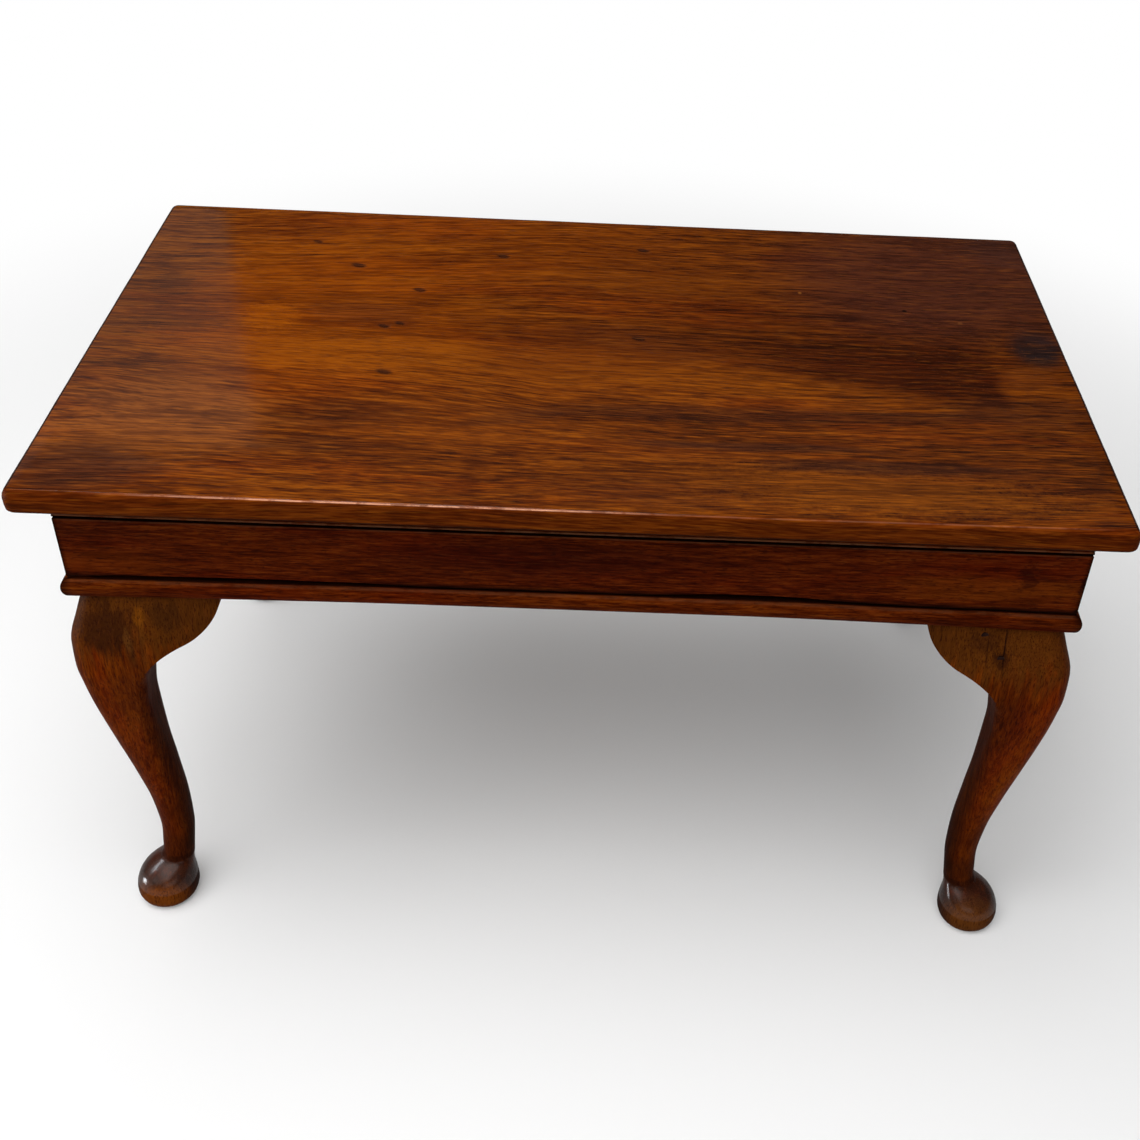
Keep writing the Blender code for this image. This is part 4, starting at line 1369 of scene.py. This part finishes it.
def easedCopy(node, name, width):
    mesh = node.data.copy()
    mesh.transform(node.matrix_world)
    obj = bpy.data.objects.new(name, mesh)
    bpy.context.scene.collection.objects.link(obj)
    startEdit(obj)
    mergeDoubles()
    bpy.ops.mesh.dissolve_limited(angle_limit=math.radians(hingeEdges["flat"]))
    faceOut()
    rounding = obj.modifiers.new("ease", "BEVEL")
    rounding.width = width
    rounding.segments = 2
    rounding.limit_method = "ANGLE"
    rounding.angle_limit = math.radians(hingeEdges["sharp"])
    bpy.ops.object.modifier_apply(modifier=rounding.name)
    smooth(hingeEdges["smooth"])
    return obj


for name, node in list(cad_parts.items()):
    if name.startswith("hinge_") and name.endswith(("leaf", "pin")):
        pin = name.endswith("pin")
        piece = easedCopy(node, f"{name}_eased", hingeEdges["pin" if pin else "leaf"])
        body = "lid" if "lid_leaf" in name else "box"
        fit(piece, body, "steel" if pin else "brass", steelFinish if pin else brassFinish, name)
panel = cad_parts["bottom_panel"]
panel.data.materials.clear()
panel.data.materials.append(boardFinish)
print("hinges made")


# old nail heads, on the front ear at the right
nailPlaces = [(0.3047, 0.3455), (0.3186, 0.3281)]
nailSize = {"sides": 20, "radius": 0.0028, "inset": 0.3, "stand": 0.00012, "depth": 0.003, "smooth": 30}


def makeNail():
    obj = startCircle("nail", nailSize["sides"], nailSize["radius"])
    startEdit(obj)
    selectAll()
    bpy.ops.transform.rotate(value=math.radians(90), orient_axis="X", center_override=(0, 0, 0))
    pullOut((0, -nailSize["depth"], 0))
    bpy.ops.mesh.inset(thickness=nailSize["radius"] * nailSize["inset"])
    bpy.ops.transform.translate(value=(0, -nailSize["stand"], 0))
    return closeUp(obj, nailSize["smooth"])


nailMaster = makeNail()
for number, (x, z) in enumerate(nailPlaces):
    along = boxHalf - x - legLine["postInner"]
    front = boxFront + earInset("front", along, z)
    nail = copyPiece(nailMaster, f"ear_front_right_nail_{number + 1}", (x, front + nailSize["depth"], z))
    fit(nail, "box", "steel", ironFinish)
bpy.data.objects.remove(nailMaster)
print("nails made")


# floor, light and camera
floorLook = {
    "size": 60,
    "grey": 0.84,
    "bounce": 0.45,
    "nearWhite": 0.17,
    "fadeFrom": 0.78, "fadeTo": 1.4,
}


def makeFloor():
    deselectAll()
    bpy.ops.mesh.primitive_plane_add(size=floorLook["size"], location=(0, 0, 0))
    obj = newest("studio_floor")
    made, tree, shader = newFinish("pale_floor")
    place = addNode(tree, "TexCoord", output=3)
    away = vectors(tree, "LENGTH", place, output=1)
    glow = spread(tree, away, floorLook["fadeFrom"], floorLook["fadeTo"], floorLook["nearWhite"], 1)
    white = addNode(tree, "Emission", {"Color": (1, 1, 1, 1), "Strength": 1})
    lit = addNode(tree, "BsdfDiffuse", {"Color": (*[floorLook["grey"]] * 3, 1)})
    seen = addNode(tree, "MixShader", {0: glow, 1: lit, 2: white})
    bounce = addNode(tree, "BsdfDiffuse", {"Color": (*[floorLook["bounce"]] * 3, 1)})
    path = tree.nodes.new("ShaderNodeLightPath")
    direct = maths(tree, "MAXIMUM", path.outputs["Is Camera Ray"], path.outputs["Is Glossy Ray"])
    direct = maths(tree, "MAXIMUM", direct, path.outputs["Is Transmission Ray"])
    surface = addNode(tree, "MixShader", {0: direct, 1: bounce, 2: seen})
    tree.nodes.remove(shader)
    plug(tree, tree.nodes["Material Output"].inputs["Surface"], surface)
    obj.data.materials.append(made)


makeFloor()

lights = {  # place, point aimed at, width, height, brightness
    "top_softbox": ((-0.65, -0.52, 3.2), (0, 0, 0.3), 3.2, 3.2, 3.3),
    "key_softbox": ((-1.6, -1.25, 1.9), (0, 0, 0.3), 1.4, 1.4, 1.2),
    "front_fill": ((0.3, -3.2, 1.7), (0, 0, 0.3), 2.4, 1.6, 1.3),
    "back_window": ((-2.25, 2.2, 1.72), (-2.25, 0, 1.72), 2.6, 0.9, 0.14),
    "left_glint_high": ((-1.67, -0.04, 1.105), (-0.36, -0.2, 0.03), 0.26, 0.22, 42),
    "left_glint_low": ((-2.04, -0.415, 0.2), (-0.37, -0.21, 0.02), 0.34, 0.34, 84),
}
glintColour = (0.84, 0.93, 1)
for name, (place, aim, width, height, level) in lights.items():
    bpy.ops.object.light_add(type="AREA", location=place)
    lamp = bpy.context.object
    lamp.name = name
    lamp.data.shape = "RECTANGLE"
    lamp.data.size = width
    lamp.data.size_y = height
    lamp.data.energy = 4 * width * height * level
    lamp.rotation_euler = (Vector(aim) - Vector(place)).to_track_quat("-Z", "Y").to_euler()
    lamp.visible_camera = False
    # the two small lamps only glint on polished feet
    lamp.visible_diffuse = "glint" not in name
    lamp.data.color = glintColour if "glint" in name else (1, 1, 1)

worldLook = {
    "horizon": 0.8,
    "ceiling": 0.02,
    "fade": (0.02, 0.14),
    "overhead": 0.05, "overheadFade": (0.5, 0.6),
}
world = bpy.data.worlds.new("studio")
bpy.context.scene.world = world
world.use_nodes = True
sky = world.node_tree
direction = addNode(sky, "TexCoord", output=0)
split = sky.nodes.new("ShaderNodeSeparateXYZ")
plug(sky, split.inputs[0], direction)
up = split.outputs[2]
level = spread(sky, up, *worldLook["fade"], worldLook["horizon"], worldLook["ceiling"])
overhead = spread(sky, up, *worldLook["overheadFade"], 0, worldLook["overhead"])
level = maths(sky, "ADD", level, overhead)
plug(sky, sky.nodes["Background"].inputs["Strength"], level)
sky.nodes["Background"].inputs["Color"].default_value = (1, 1, 1, 1)

cameraLook = {
    "place": (0.0232, -0.9963, 1.0666),
    "turn": (53.369, -2.62, 0.15),
    "sensor": 36,
    "lens": 45.3,
    "shift": (-0.0692, -0.0834),
}
turn = [math.radians(angle) for angle in cameraLook["turn"]]
bpy.ops.object.camera_add(location=cameraLook["place"], rotation=turn)
camera = bpy.context.object
camera.data.sensor_width = cameraLook["sensor"]
camera.data.lens = cameraLook["lens"]
camera.data.shift_x, camera.data.shift_y = cameraLook["shift"]
bpy.context.scene.camera = camera
bpy.context.scene.view_settings.view_transform = "Standard"
print("studio made")
